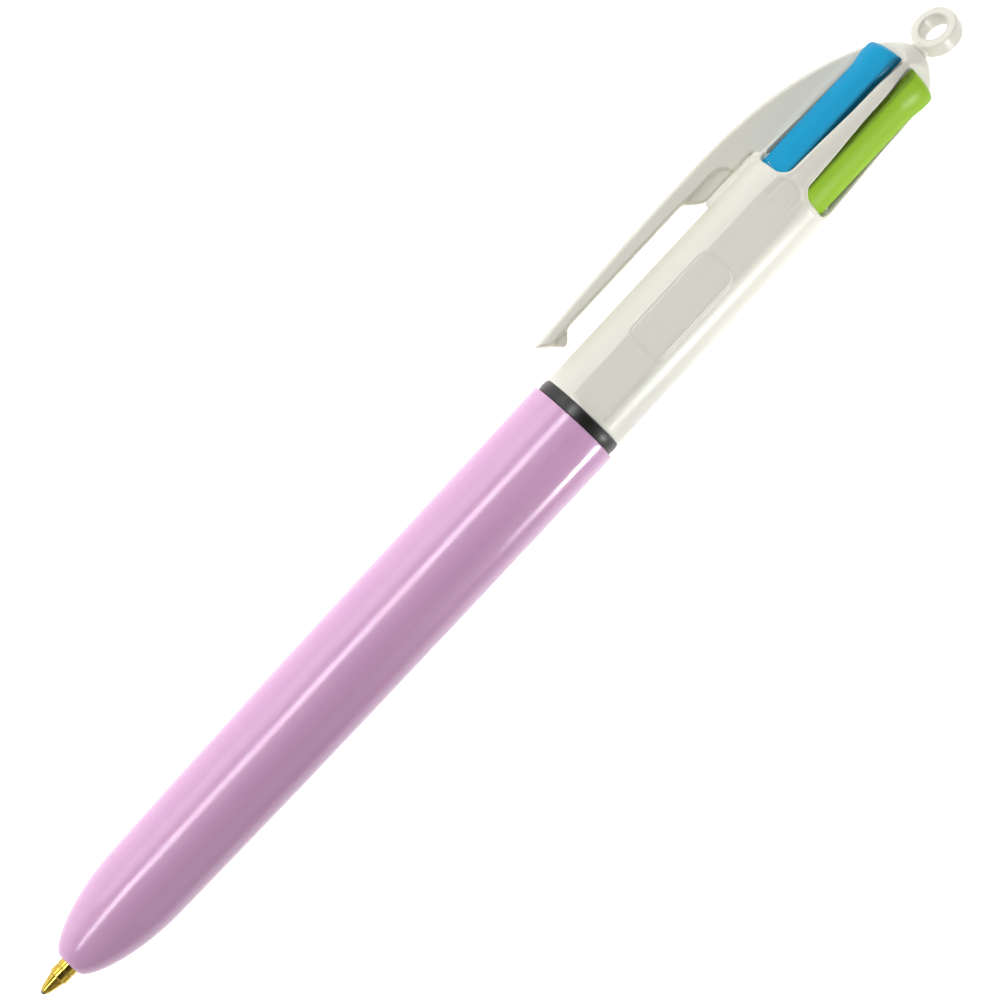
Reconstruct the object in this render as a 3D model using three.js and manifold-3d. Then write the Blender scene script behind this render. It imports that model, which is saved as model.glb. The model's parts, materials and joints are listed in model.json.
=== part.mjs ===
// Multicolour click pen: four refills, each worked by its own slider, share one writing nose.
// The pen is drawn along +X with the writing tip at x = 0 and the lanyard loop at the far end,
// and is then rolled and lifted so that it lies on a table, on its barrel and its clip.
import * as THREE from 'three';
import { mergeVertices } from 'three/addons/utils/BufferGeometryUtils.js';
import Module from 'manifold-3d';

const wasm = await Module();
wasm.setup();

// Driving dimensions, in millimetres, measured along the pen from the writing tip
const GAP = 0.25;               // clearance between neighbouring pieces
const SIDES = 40;               // facets round the large turned pieces
const SMALL_SIDES = 14;         // facets round the refills
const CLEAR = 8;                // how far a cutter reaches beyond what it cuts

// Lower barrel: a blunt nose that swells into a slowly widening grip
const NOSE_X = 4.43, NOSE_R = 1.82, NOSE_LENGTH = 13.73;
const SHOULDER_R = 5.255, NOSE_POWER = 0.72;
const SWELL = 0.68, SWELL_LENGTH = 29.5;
const BARREL_END = 88.3;
const HOLE_R = 1.48, THROAT_X = 5.6;
const BARREL_BORE = [[12.2, 3.8], [20, 4.3], [80.5, 4.45], [80.5, 4.95]];

// Trim ring between the two halves
const RING_R = 5.5, RING_BORE = 4.95, RING_END = 89.6;

// Upper body: a tube with two flats and four slider slots
const BODY_X = 89.85, BODY_R = 5.42, BODY_END = 143.0;
const BODY_TAPER = [[121, 5.42], [124.9, 5.33], [130.5, 5.1], [135, 4.82], [139.6, 4.68], [BODY_END, 4.28]];
const SPIGOT_X = 82, SPIGOT_R = 4.7;
const LEDGE_X = 90, LEDGE_R = 3.95;
const CAVITY_R = 4.25, CAVITY_END = 122;
const CORE_SEAT_R = 3.35;
const FLAT_HEIGHT = 4.85, FLAT_END = 124.85, FLAT_HALF = 3.2, FLAT_ARCH = 3;
const CHANNEL_X = 101, CHANNEL_FLOOR = 2, CHANNEL_ROOF_R = 4.75, CHANNEL_HALF = 2.3;
const SLOT_X = 124.62, SLOT_HALF = 2.62, SLOT_FLOOR = 3.2, SLOT_CORNER = 1.5;

// Clip: a long arm that stands off the body, a thin web and a fin that grows out of the body
const CLIP_END = 91.57, CLIP_HALF = 2.1, FIN_HALF = 1.15, FIN_TOP_HALF = 0.8;
const ARM_INNER = 7.77, ARM_OUTER = 9.76, ARM_CREST_X = 118, ARM_TAPER_X = 112;
const ARM_TIP_Y = 8.93, FIN_END_Y = 4.75, FIN_FOOT = 4;
const BUMP_X = 93.98, BUMP_Y = 6.64, BUMP_ROOT_X = 95.8;
const WEB_X = 116.79, WEB_END = 122, WEB_HALF = 0.8;
const SLIT_X = 115.09, SLIT_Y = 6.05, PAD_FOOT = 4.4, PAD_TOP = 5.8;
const KNUCKLE_X = 125.6, KNUCKLE_Y = 7.8, KNUCKLE_R = 1.75;

// Crown with its lanyard loop
const CROWN_X = 143.25, CROWN_RECESS = 3.0;
const CROWN_PROFILE = [[CROWN_X, 4.22], [143.65, 4.02], [144.37, 3.4], [145.05, 2.76], [145.85, 1.6]];
const NECK_X = 146, NECK_R = 1.15, NECK_END = 146.95;
const LOOP_X = 149.08, LOOP_R = 2.235, LOOP_WALL = 0.87, LOOP_WIDTH = 2.0, LOOP_TURN = 43;
const LOOP_POWER = 0.45;        // below 1 the ring's section is boxier than an ellipse

// Latch core, spring seat and sliders
const CORE_X = 121.5, CORE_END = 142.9, CORE_R = 3.05;
const CORE_CHANNEL_FLOOR = 1.2, CORE_CHANNEL_HALF = 0.9;
const SEAT_X = 90.3, SEAT_END = 92, SEAT_R = 4.1, SEAT_HOLE_R = 1.32, SEAT_HOLE_OFFSET = 2.62;
const TRAVEL = 10;
const STEM_X = 112, STEM_END = 139.4, STEM_FLOOR = 3.45, STEM_TOP = 4.5, STEM_HALF = 2.1;
const STEM_CROWN_R = 4.55, HEAD_CROWN_R = 4.98;
const HEAD_FULL_X = 142.2, HEAD_END = 143.69, HEAD_TOP = 4.78, HEAD_HALF = 2.35;
const FIN_FLOOR = 1.75, SLIDER_FIN_HALF = 0.7, SLIDER_FIN_END = 130;
const SHOULDER_X = 107.5, SHOULDER_END = 108.5, SHOULDER_DISC_R = 1.45;
const STUB_X = 103, STUB_R = 0.6;

// Refills
const REFILL_LENGTH = 97;       // ball to the end of the plastic tube, where it hangs on the slider
const STUB_OFFSET = 2.7, PARKED_OFFSET = 2.45;
const BALL_R = 0.35, POINT_R = 1.17, TUBE_R = 1.1, TUBE_BORE = 0.8, TUBE_X = 7.3;
const PLUG_R = 0.62, PLUG_END = 10, INK_R = 0.6, INK_END = 84;
const COIL_R = 1.42, WIRE_R = 0.13, COIL_TURNS = 6, COIL_STEPS = 8, COIL_OFFSET = 2.65;

// The four colours, the angle of each slider round the pen, and which one is pressed down
const COLOURS = [
  { name: 'blue', angle: 45, colour: 0x0798cc, pressed: false },
  { name: 'green', angle: 135, colour: 0x9ccb2f, pressed: false },
  { name: 'purple', angle: 225, colour: 0x7a4fb0, pressed: true },
  { name: 'pink', angle: 315, colour: 0xe0559b, pressed: false },
];

// --- Solids -----------------------------------------------------------------------------------

/** Volume inside an indexed surface, negative where its faces point inwards. */
function signedVolume(position, index) {
  const [a, b, c] = [new THREE.Vector3(), new THREE.Vector3(), new THREE.Vector3()];
  let volume = 0;
  for (let i = 0; i < index.length; i += 3) {
    a.fromBufferAttribute(position, index[i]);
    b.fromBufferAttribute(position, index[i + 1]);
    c.fromBufferAttribute(position, index[i + 2]);
    volume += a.dot(b.cross(c)) / 6;
  }
  return volume;
}

/** A manifold solid from a closed geometry, its faces turned outwards. */
function solid(geometry) {
  const bare = geometry.clone();
  bare.deleteAttribute('normal');
  bare.deleteAttribute('uv');
  const merged = mergeVertices(bare, 1e-5);
  const source = merged.index.array;
  const index = [];
  for (let i = 0; i < source.length; i += 3) {
    const [a, b, c] = [source[i], source[i + 1], source[i + 2]];
    if (a !== b && b !== c && c !== a) index.push(a, b, c);
  }
  if (signedVolume(merged.attributes.position, index) < 0) index.reverse();
  return new wasm.Manifold(new wasm.Mesh({
    numProp: 3,
    vertProperties: new Float32Array(merged.attributes.position.array),
    triVerts: new Uint32Array(index),
  }));
}

/** The geometry of a manifold solid. */
function geometryOf(body) {
  const mesh = body.getMesh();
  const geometry = new THREE.BufferGeometry();
  geometry.setAttribute('position', new THREE.BufferAttribute(new Float32Array(mesh.vertProperties), 3));
  geometry.setIndex(new THREE.BufferAttribute(new Uint32Array(mesh.triVerts), 1));
  geometry.computeVertexNormals();
  return geometry;
}

/** A solid turned round the X axis from [x, radius] points that start and end on the axis or close. */
function turned(points, sides = SIDES) {
  const profile = points.map(([x, r]) => new THREE.Vector2(r, x));
  return solid(new THREE.LatheGeometry(profile, sides).rotateZ(-Math.PI / 2));
}

/** A plain cylinder along X. */
function rod(from, to, radius, sides = SIDES) {
  return turned([[from, 0], [from, radius], [to, radius], [to, 0]], sides);
}

/** A flat outline in the XY plane, extruded along Z between two heights. */
function slab(shape, low, high, curveSegments = 6) {
  const options = { depth: high - low, bevelEnabled: false, curveSegments };
  return solid(new THREE.ExtrudeGeometry(shape, options).translate(0, 0, low));
}

/** A box given by its two corners. */
function block(low, high) {
  const size = high.map((value, i) => value - low[i]);
  const centre = high.map((value, i) => (value + low[i]) / 2);
  return solid(new THREE.BoxGeometry(...size).translate(...centre));
}

/** The same solid repeated round the X axis at the four slider angles. */
function roundTheFour(body) {
  return COLOURS.map(({ angle }) => body.rotate([angle, 0, 0]));
}

function subtractAll(body, cutters) {
  return cutters.reduce((rest, cutter) => rest.subtract(cutter), body);
}

// --- Casings ----------------------------------------------------------------------------------

/** Radius of the lower barrel's outer surface at a distance from the writing tip. */
function barrelRadius(x) {
  const shoulder = NOSE_X + NOSE_LENGTH;
  if (x >= shoulder) return SHOULDER_R + SWELL * (1 - Math.exp(-(x - shoulder) / SWELL_LENGTH));
  const back = (shoulder - x) / NOSE_LENGTH;
  return NOSE_R + (SHOULDER_R - NOSE_R) * (1 - back * back) ** NOSE_POWER;
}

function lowerBarrel() {
  const stations = [NOSE_X, 4.9, 5.6, 6.6, 8, 9.8, 12, 15, 18.16, 24, 33, 46, 64, BARREL_END];
  const outside = stations.map((x) => [x, barrelRadius(x)]);
  const inside = [[BARREL_END, RING_BORE], ...BARREL_BORE.toReversed(), [THROAT_X, HOLE_R], [NOSE_X, HOLE_R]];
  return turned([...outside, ...inside, outside[0]]);
}

function trimRing() {
  const start = BARREL_END + GAP;
  return turned([
    [start, RING_BORE], [start, RING_R], [RING_END, RING_R], [RING_END, RING_BORE], [start, RING_BORE],
  ]);
}

/** Cutter for one flat: it ends in a rounded arch between two slots. */
function flatCutter() {
  const plan = new THREE.Shape();
  plan.moveTo(SPIGOT_X, -FLAT_HALF);
  plan.absellipse(FLAT_END - FLAT_ARCH, 0, FLAT_ARCH, FLAT_HALF, -Math.PI / 2, Math.PI / 2);
  plan.lineTo(SPIGOT_X, FLAT_HALF);
  return slab(plan, FLAT_HEIGHT, CLEAR, 12);
}

/** Cutter for one slider slot, drawn above the axis: rounded at its lower end, open at the crown. */
function slotCutter(floor) {
  const plan = new THREE.Shape();
  const top = BODY_END + CLEAR;
  plan.moveTo(top, -SLOT_HALF);
  plan.lineTo(top, SLOT_HALF);
  plan.lineTo(SLOT_X + SLOT_CORNER, SLOT_HALF);
  plan.quadraticCurveTo(SLOT_X, SLOT_HALF, SLOT_X, SLOT_HALF - SLOT_CORNER);
  plan.lineTo(SLOT_X, SLOT_CORNER - SLOT_HALF);
  plan.quadraticCurveTo(SLOT_X, -SLOT_HALF, SLOT_X + SLOT_CORNER, -SLOT_HALF);
  return slab(plan, floor, CLEAR).rotate([-90, 0, 0]);
}

/** The rod along Z round which the clip arm turns. */
function knuckle(radius) {
  return rod(-CLIP_HALF, CLIP_HALF, radius, 24).rotate([0, 90, 0]).translate([KNUCKLE_X, KNUCKLE_Y, 0]);
}

/** The fixed fin of the clip and the raised pad under the clip's root, both on the clip's side. */
function finAndPad() {
  const side = slab(clipOutline(), -FIN_HALF, FIN_HALF, 10);
  const fixedPart = block([KNUCKLE_X, PAD_FOOT, -FIN_HALF], [BODY_END, ARM_OUTER, FIN_HALF]);
  const pad = block([WEB_X, PAD_FOOT, -FIN_HALF], [KNUCKLE_X + 1, PAD_TOP, FIN_HALF]);
  return side.intersect(fixedPart.add(knuckle(KNUCKLE_R))).add(pad);
}

function upperBody() {
  const outside = [[SPIGOT_X, 0], [SPIGOT_X, SPIGOT_R], [BODY_X, SPIGOT_R], [BODY_X, BODY_R], ...BODY_TAPER];
  const tube = turned([...outside, [BODY_END, 0]]);
  const bore = turned([
    [SPIGOT_X - 1, 0], [SPIGOT_X - 1, LEDGE_R], [LEDGE_X, LEDGE_R], [LEDGE_X, CAVITY_R],
    [CAVITY_END, CAVITY_R], [CAVITY_END, CORE_SEAT_R], [BODY_END + 1, CORE_SEAT_R], [BODY_END + 1, 0],
  ]);
  const channel = block([CHANNEL_X, CHANNEL_FLOOR, -CHANNEL_HALF], [SLOT_X + 2, CLEAR, CHANNEL_HALF])
    .intersect(rod(CHANNEL_X - 1, SLOT_X + 3, CHANNEL_ROOF_R));
  const flats = [flatCutter(), flatCutter().rotate([180, 0, 0])];
  const shell = tube.subtract(flats[0]).subtract(flats[1]).add(finAndPad());
  const cutters = [bore, ...roundTheFour(channel), ...roundTheFour(slotCutter(SLOT_FLOOR))];
  return subtractAll(shell, cutters);
}

// --- Clip -------------------------------------------------------------------------------------

/** Side view of the whole clip, from its free end to where the fin runs out at the crown. */
function clipOutline() {
  const outline = new THREE.Shape();
  outline.moveTo(CLIP_END, ARM_TIP_Y);
  outline.quadraticCurveTo(105, ARM_OUTER, ARM_CREST_X, ARM_OUTER);
  outline.bezierCurveTo(126.5, ARM_OUTER, 135, 8.8, BODY_END, FIN_END_Y);
  outline.lineTo(BODY_END, FIN_FOOT);
  outline.lineTo(KNUCKLE_X, FIN_FOOT);
  outline.lineTo(KNUCKLE_X, SLIT_Y);
  outline.lineTo(WEB_X, SLIT_Y);
  outline.quadraticCurveTo(SLIT_X + 0.5, 6.9, SLIT_X, ARM_INNER);
  outline.lineTo(BUMP_ROOT_X, ARM_INNER);
  outline.lineTo(BUMP_X + 0.3, BUMP_Y + 0.05);
  outline.quadraticCurveTo(BUMP_X - 0.1, BUMP_Y - 0.1, BUMP_X - 0.4, BUMP_Y + 0.45);
  return outline;
}

/** Plan view of the arm: wide at its free end, narrow at the fin. */
function clipPlan() {
  const plan = new THREE.Shape();
  plan.moveTo(CLIP_END - 1, -CLIP_HALF);
  plan.lineTo(ARM_TAPER_X, -CLIP_HALF);
  plan.lineTo(KNUCKLE_X, -FIN_HALF);
  plan.lineTo(BODY_END + 1, -FIN_TOP_HALF);
  plan.lineTo(BODY_END + 1, FIN_TOP_HALF);
  plan.lineTo(KNUCKLE_X, FIN_HALF);
  plan.lineTo(ARM_TAPER_X, CLIP_HALF);
  plan.lineTo(CLIP_END - 1, CLIP_HALF);
  return plan;
}

/** The shallow arched recess on either side of the clip's root, which leaves the thin web. */
function webRecess() {
  const arch = new THREE.Shape();
  arch.moveTo(SLIT_X - 1, PAD_FOOT);
  arch.lineTo(WEB_END - 1, PAD_FOOT);
  arch.quadraticCurveTo(WEB_END + 0.3, ARM_INNER - 0.1, WEB_END - 2.6, ARM_INNER);
  arch.lineTo(SLIT_X - 1, ARM_INNER);
  const cutter = slab(arch, WEB_HALF, CLEAR);
  return cutter.add(cutter.mirror([0, 0, 1]));
}

function clipArm() {
  const side = slab(clipOutline(), -CLIP_HALF, CLIP_HALF, 10);
  const plan = slab(clipPlan(), FIN_FOOT, ARM_OUTER + 1).rotate([-90, 0, 0]);
  const fixedSide = block([KNUCKLE_X - 0.6, 0, -CLEAR], [BODY_END + 2, ARM_OUTER + 2, CLEAR]);
  return subtractAll(side.intersect(plan), [webRecess(), knuckle(KNUCKLE_R + 0.3), fixedSide]);
}

// --- Crown, core and seat ---------------------------------------------------------------------

/** Ring whose hole lies along Z at the origin, with a rounded section. */
function loopRing() {
  const section = [];
  const corners = 12;
  for (let i = 0; i <= corners; i++) {
    const turn = (2 * Math.PI * i) / corners;
    const [c, s] = [Math.cos(turn), Math.sin(turn)];
    const along = (LOOP_WIDTH / 2) * Math.sign(s) * Math.abs(s) ** LOOP_POWER;
    const out = LOOP_R + (LOOP_WALL / 2) * Math.sign(c) * Math.abs(c) ** LOOP_POWER;
    section.push([along, out]);
  }
  return turned(section, 22).rotate([0, 90, 0]);
}

function crownCap() {
  const neck = [[NECK_X, NECK_R], [NECK_END, NECK_R], [NECK_END, 0]];
  const dome = turned([[CROWN_X, 0], ...CROWN_PROFILE, ...neck]);
  const ring = loopRing().rotate([-LOOP_TURN, 0, 0]).translate([LOOP_X, 0, 0]);
  return subtractAll(dome, roundTheFour(slotCutter(CROWN_RECESS))).add(ring);
}

function latchCore() {
  const low = [CORE_X - 1, CORE_CHANNEL_FLOOR, -CORE_CHANNEL_HALF];
  const channel = block(low, [CORE_END + 1, CLEAR, CORE_CHANNEL_HALF]);
  return subtractAll(rod(CORE_X, CORE_END, CORE_R, 32), roundTheFour(channel));
}

function springSeat() {
  const hole = rod(SEAT_X - 1, SEAT_END + 1, SEAT_HOLE_R, SMALL_SIDES).translate([0, SEAT_HOLE_OFFSET, 0]);
  return subtractAll(rod(SEAT_X, SEAT_END, SEAT_R), roundTheFour(hole));
}

// --- Sliders, springs and refills, drawn above the axis with the refill drawn back -------------

/** Side view of a slider's stem and head: the head flares out and is chamfered at its top. */
function sliderSide() {
  const side = new THREE.Shape();
  side.moveTo(STEM_X, STEM_FLOOR);
  side.lineTo(STEM_X, STEM_TOP - 0.3);
  side.lineTo(STEM_X + 0.8, STEM_TOP);
  side.lineTo(STEM_END, STEM_TOP);
  side.quadraticCurveTo(STEM_END + 1.2, STEM_TOP, HEAD_FULL_X, HEAD_TOP);
  side.lineTo(HEAD_END, HEAD_TOP - 0.7);
  side.lineTo(HEAD_END, STEM_FLOOR);
  return side;
}

/** Plan view of a slider: the head is a little wider than the stem. */
function sliderPlan() {
  const plan = new THREE.Shape();
  plan.moveTo(STEM_X - 1, -STEM_HALF);
  plan.lineTo(STEM_END, -STEM_HALF);
  plan.lineTo(STEM_END + 2, -HEAD_HALF);
  plan.lineTo(HEAD_END + 1, -HEAD_HALF);
  plan.lineTo(HEAD_END + 1, HEAD_HALF);
  plan.lineTo(STEM_END + 2, HEAD_HALF);
  plan.lineTo(STEM_END, STEM_HALF);
  plan.lineTo(STEM_X - 1, STEM_HALF);
  return plan;
}

function slider() {
  const plan = slab(sliderPlan(), 0, CLEAR).rotate([-90, 0, 0]);
  const blade = slab(sliderSide(), -HEAD_HALF, HEAD_HALF).intersect(plan);
  const crown = turned([
    [STEM_X - 1, 0], [STEM_X - 1, STEM_CROWN_R], [STEM_END, STEM_CROWN_R], [HEAD_FULL_X, HEAD_CROWN_R],
    [HEAD_END + 1, HEAD_CROWN_R], [HEAD_END + 1, 0],
  ], 64);
  const low = [SHOULDER_END - GAP, FIN_FLOOR, -SLIDER_FIN_HALF];
  const fin = block(low, [SLIDER_FIN_END, STEM_FLOOR + GAP, SLIDER_FIN_HALF]);
  const stub = rod(STUB_X, SHOULDER_END, STUB_R, SMALL_SIDES).translate([0, STUB_OFFSET, 0]);
  const shoulder = rod(SHOULDER_X, SHOULDER_END, SHOULDER_DISC_R, SMALL_SIDES).translate([0, STUB_OFFSET, 0]);
  return blade.intersect(crown).add(fin).add(shoulder).add(stub);
}

/** Helix round the X axis between two stations. */
class CoilLine extends THREE.Curve {
  constructor(from, to) {
    super();
    this.from = from;
    this.to = to;
  }

  getPoint(t, target = new THREE.Vector3()) {
    const turn = 2 * Math.PI * COIL_TURNS * t;
    const x = this.from + (this.to - this.from) * t;
    return target.set(x, COIL_R * Math.cos(turn), COIL_R * Math.sin(turn));
  }
}

function spring(pressed) {
  const from = SEAT_END + GAP + WIRE_R;
  const to = SHOULDER_X - GAP - WIRE_R - (pressed ? TRAVEL : 0);
  const wire = new THREE.Shape().absarc(0, 0, WIRE_R, 0, 2 * Math.PI);
  const geometry = new THREE.ExtrudeGeometry(wire, {
    steps: COIL_TURNS * COIL_STEPS, curveSegments: 3, bevelEnabled: false, extrudePath: new CoilLine(from, to),
  });
  return solid(geometry).translate([0, COIL_OFFSET, 0]);
}

/** Each piece of a refill lies along X with its ball at x = 0. */
const refillPieces = {
  refill_tip: () => turned([
    [0.8, 0], [0.8, 0.4], [0.35, 0.4], [0.35, 0.47], [0.78, 0.68], [2.62, 1.04], [2.72, POINT_R],
    [TUBE_X - GAP, POINT_R], [TUBE_X - GAP, PLUG_R], [PLUG_END, PLUG_R], [PLUG_END, 0],
  ], SMALL_SIDES),
  refill_ball: () => solid(new THREE.IcosahedronGeometry(BALL_R, 1)).translate([BALL_R, 0, 0]),
  refill_tube: () => turned([
    [TUBE_X, TUBE_BORE], [TUBE_X, TUBE_R], [REFILL_LENGTH, TUBE_R], [REFILL_LENGTH, TUBE_BORE],
    [TUBE_X, TUBE_BORE],
  ], SMALL_SIDES),
  ink: () => rod(PLUG_END + 0.4, INK_END, INK_R, 10),
};

/** Moves a refill piece to where its tube hangs on the slider, leaning by the right angle. */
function hung(piece, pressed) {
  const offset = pressed ? 0 : PARKED_OFFSET;
  const lean = Math.asin((STUB_OFFSET - offset) / REFILL_LENGTH);
  const back = pressed ? 0 : TRAVEL;
  return piece.translate([-REFILL_LENGTH, 0, 0])
    .rotate([0, 0, THREE.MathUtils.radToDeg(lean)])
    .translate([REFILL_LENGTH + back, STUB_OFFSET, 0]);
}

// --- Assembly ---------------------------------------------------------------------------------

function finish(color, roughness, metalness = 0) {
  return { color, roughness, metalness };
}

const IVORY = finish(0xebe8de, 0.38);
const CASING_FINISHES = {
  lower_barrel: finish(0xcda0cd, 0.22),
  trim_ring: finish(0x1c1a18, 0.3),
  upper_body: IVORY,
  clip_arm: IVORY,
  crown_cap: IVORY,
  latch_core: IVORY,
  spring_seat: IVORY,
};
const BRASS = finish(0xd9b441, 0.28, 1);
const STEEL = finish(0xb9bbbe, 0.3, 1);
const TUBING = finish(0xe9edf0, 0.4);

const pen = new THREE.Group();

function place(name, body, surface) {
  const mesh = new THREE.Mesh(geometryOf(body), new THREE.MeshStandardMaterial(surface));
  mesh.name = name;
  pen.add(mesh);
  return mesh;
}

const casings = {
  lower_barrel: lowerBarrel(),
  trim_ring: trimRing(),
  upper_body: upperBody(),
  clip_arm: clipArm(),
  crown_cap: crownCap(),
  latch_core: latchCore(),
  spring_seat: springSeat(),
};
Object.entries(casings).forEach(([name, body]) => place(name, body, CASING_FINISHES[name]));

const refillFinishes = { refill_tip: BRASS, refill_ball: STEEL, refill_tube: TUBING };
COLOURS.forEach(({ name, angle, colour, pressed }) => {
  const around = (body) => body.rotate([angle, 0, 0]);
  place(`slider_${name}`, around(slider().translate([pressed ? -TRAVEL : 0, 0, 0])), finish(colour, 0.35));
  place(`spring_${name}`, around(spring(pressed)), STEEL);
  Object.entries(refillPieces).forEach(([piece, make]) => {
    const surface = refillFinishes[piece] ?? finish(colour, 0.5);
    place(`${piece}_${name}`, around(hung(make(), pressed)), surface);
  });
});

// Roll the clip down until the barrel and the clip's outer edge rest on the table together
const restRadius = barrelRadius(BARREL_END);
const reach = Math.hypot(ARM_OUTER, CLIP_HALF);
const roll = Math.asin(restRadius / reach) - Math.atan2(CLIP_HALF, ARM_OUTER);
const rolled = new THREE.Group();
rolled.add(pen);
pen.rotation.x = -roll;
rolled.updateMatrixWorld(true);

const bounds = new THREE.Box3().setFromObject(rolled, true);
const centre = bounds.getCenter(new THREE.Vector3());
const object = new THREE.Group();
object.add(rolled);
rolled.position.set(-centre.x, -centre.y, -bounds.min.z);

export default object;
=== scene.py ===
"""Looks of the multicolour click pen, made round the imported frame.

Every piece is worked out in the pen's own axes, in millimetres: X runs along the pen from the
writing tip to the lanyard loop, Y points to the clip, and Z to the side seen by the camera.
A slider, spring or refill is worked out above the axis, as (x, height, across), and is then
turned round the pen to its own angle.
"""

import json
import logging
import math
from collections.abc import Callable
from dataclasses import dataclass, field
from enum import Enum

import bmesh
import bpy
import numpy as np
from mathutils import Matrix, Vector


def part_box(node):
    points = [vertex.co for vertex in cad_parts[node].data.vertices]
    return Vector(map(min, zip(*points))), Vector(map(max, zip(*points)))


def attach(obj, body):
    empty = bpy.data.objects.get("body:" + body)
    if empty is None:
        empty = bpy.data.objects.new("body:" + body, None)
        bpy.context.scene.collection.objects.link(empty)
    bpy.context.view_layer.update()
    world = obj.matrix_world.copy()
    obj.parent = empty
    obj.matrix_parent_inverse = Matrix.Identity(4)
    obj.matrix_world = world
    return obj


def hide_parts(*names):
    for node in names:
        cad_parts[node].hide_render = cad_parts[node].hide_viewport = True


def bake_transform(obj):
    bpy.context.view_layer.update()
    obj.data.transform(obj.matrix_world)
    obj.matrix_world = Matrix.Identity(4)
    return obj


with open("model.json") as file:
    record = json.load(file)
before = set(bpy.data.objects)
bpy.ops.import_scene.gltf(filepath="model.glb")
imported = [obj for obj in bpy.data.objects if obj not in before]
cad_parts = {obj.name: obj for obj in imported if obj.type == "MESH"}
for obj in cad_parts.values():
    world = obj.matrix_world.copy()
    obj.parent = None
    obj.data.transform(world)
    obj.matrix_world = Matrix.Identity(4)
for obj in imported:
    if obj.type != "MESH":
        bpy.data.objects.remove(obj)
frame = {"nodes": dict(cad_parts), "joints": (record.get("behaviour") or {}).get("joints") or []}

# Lengths along the pen are in millimetres, weld distances in metres and bends in 1/mm.
MM = 0.001
TURN = 2 * math.pi
QUARTER = math.pi / 2
BARREL_END = 88.3
TRAVEL = 10.0
WELD_DISTANCE = 1.5e-6
NO_LENGTH = 1e-7
CREST_BENDS = (0.9, 5.0)
HOLLOW_BENDS = (0.5, 4.0)
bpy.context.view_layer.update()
log = logging.getLogger("click_pen")


# --- The pen's axes and the tools that turn grids into meshes -----------------------------------


@dataclass(frozen=True)
class PenAxes:
    """Where the pen's own axes lie in the frame that every piece shares."""

    shift: np.ndarray
    roll: float

    @classmethod
    def from_frame(cls) -> "PenAxes":
        """Reads the axes off the lower barrel's box and the clip's hinge.

        Returns:
            The axes, in metres and radians.
        """
        low, high = (np.array(corner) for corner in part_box("lower_barrel"))
        hinge = next(joint for joint in frame["joints"] if joint["name"] == "clip_flex")
        middle = (low + high) / 2
        shift = np.array([high[0] - BARREL_END * MM, middle[1], middle[2]])
        return cls(shift, math.atan2(-hinge["axis"][1], -hinge["axis"][2]))

    def turned(self, vectors: np.ndarray) -> np.ndarray:
        """Turns vectors from the pen's axes to the frame's: a turn about X by minus the roll."""
        x, y, z = np.moveaxis(np.asarray(vectors, float), -1, 0)
        c, s = math.cos(self.roll), math.sin(self.roll)
        return np.stack([x, y * c + z * s, z * c - y * s], -1)

    def placed(self, points: np.ndarray) -> np.ndarray:
        """Points in the frame, in metres, from points in the pen's axes, in millimetres."""
        return self.turned(points) * MM + self.shift

    def local(self, points: np.ndarray) -> np.ndarray:
        """Points in the pen's axes, in millimetres, from points in the frame, in metres."""
        x, y, z = np.moveaxis((points - self.shift) / MM, -1, 0)
        c, s = math.cos(self.roll), math.sin(self.roll)
        return np.stack([x, y * c - z * s, y * s + z * c], -1)


AXES = PenAxes.from_frame()


def smooth(low: float, high: float, value: np.ndarray) -> np.ndarray:
    """Smoothstep: 0 below low, 1 above high, and 3s^2 - 2s^3 of the share s between them."""
    share = np.clip((value - low) / (high - low), 0, 1)
    return share * share * (3 - 2 * share)


def curve(start: np.ndarray, pull: np.ndarray, end: np.ndarray, s: np.ndarray) -> np.ndarray:
    """A quadratic curve from A to B, pulled to C: (1-s)^2 A + 2s(1-s) C + s^2 B."""
    return (1 - s) ** 2 * start + 2 * s * (1 - s) * pull + s**2 * end


def smoothed(x: np.ndarray, knots: tuple, span: tuple, window: int) -> np.ndarray:
    """A line through knots, averaged over a bell-shaped window.

    Args:
        x: where the line is read.
        knots: the points (x, value) that it runs through before it is averaged.
        span: first and last x of the fine line that is averaged, and its step.
        window: points in the window, an odd number.

    Returns:
        The line's value at each x.
    """
    fine = np.arange(*span)
    points = np.array(knots)
    bell = np.hanning(window)
    level = np.pad(np.interp(fine, points[:, 0], points[:, 1]), window // 2, mode="edge")
    return np.interp(x, fine, np.convolve(level, bell / bell.sum(), "valid"))


def eased(corners: list, radius: float, steps: int = 6) -> np.ndarray:
    """A line through corners, each inner corner replaced by a quadratic curve.

    Args:
        corners: points of the line, each of two numbers.
        radius: how far from a corner its curve starts, less on a short side.
        steps: points on each curve.

    Returns:
        The points of the line.
    """
    points = np.asarray(corners, float)
    inner = points[1:-1]
    to_last, to_next = points[:-2] - inner, points[2:] - inner
    last, following = np.linalg.norm(to_last, axis=1), np.linalg.norm(to_next, axis=1)
    reach = np.minimum(radius, 0.48 * np.minimum(last, following))[:, None]
    start = inner + to_last / last[:, None] * reach
    end = inner + to_next / following[:, None] * reach
    s = np.linspace(0, 1, steps)[None, :, None]
    curves = curve(start[:, None], inner[:, None], end[:, None], s)
    return np.concatenate([points[:1], curves.reshape(-1, 2), points[-1:]])


def looped(corners: list, radius: float, steps: int = 6) -> np.ndarray:
    """A closed line through corners, every corner eased; its last point isn't repeated."""
    points = np.asarray(corners, float)
    middle = (points[:1] + points[-1:]) / 2
    return eased(np.concatenate([middle, points, middle]), radius, steps)[1:]


def lathe(profile: np.ndarray, steps: int) -> np.ndarray:
    """A profile of (x, radius) points turned round the pen: (x, r cos a, r sin a)."""
    a = np.arange(steps) * TURN / steps
    x, r = (np.asarray(profile, float)[:, i, None] for i in (0, 1))
    return np.stack(np.broadcast_arrays(x, r * np.cos(a), r * np.sin(a)), -1)


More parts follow.
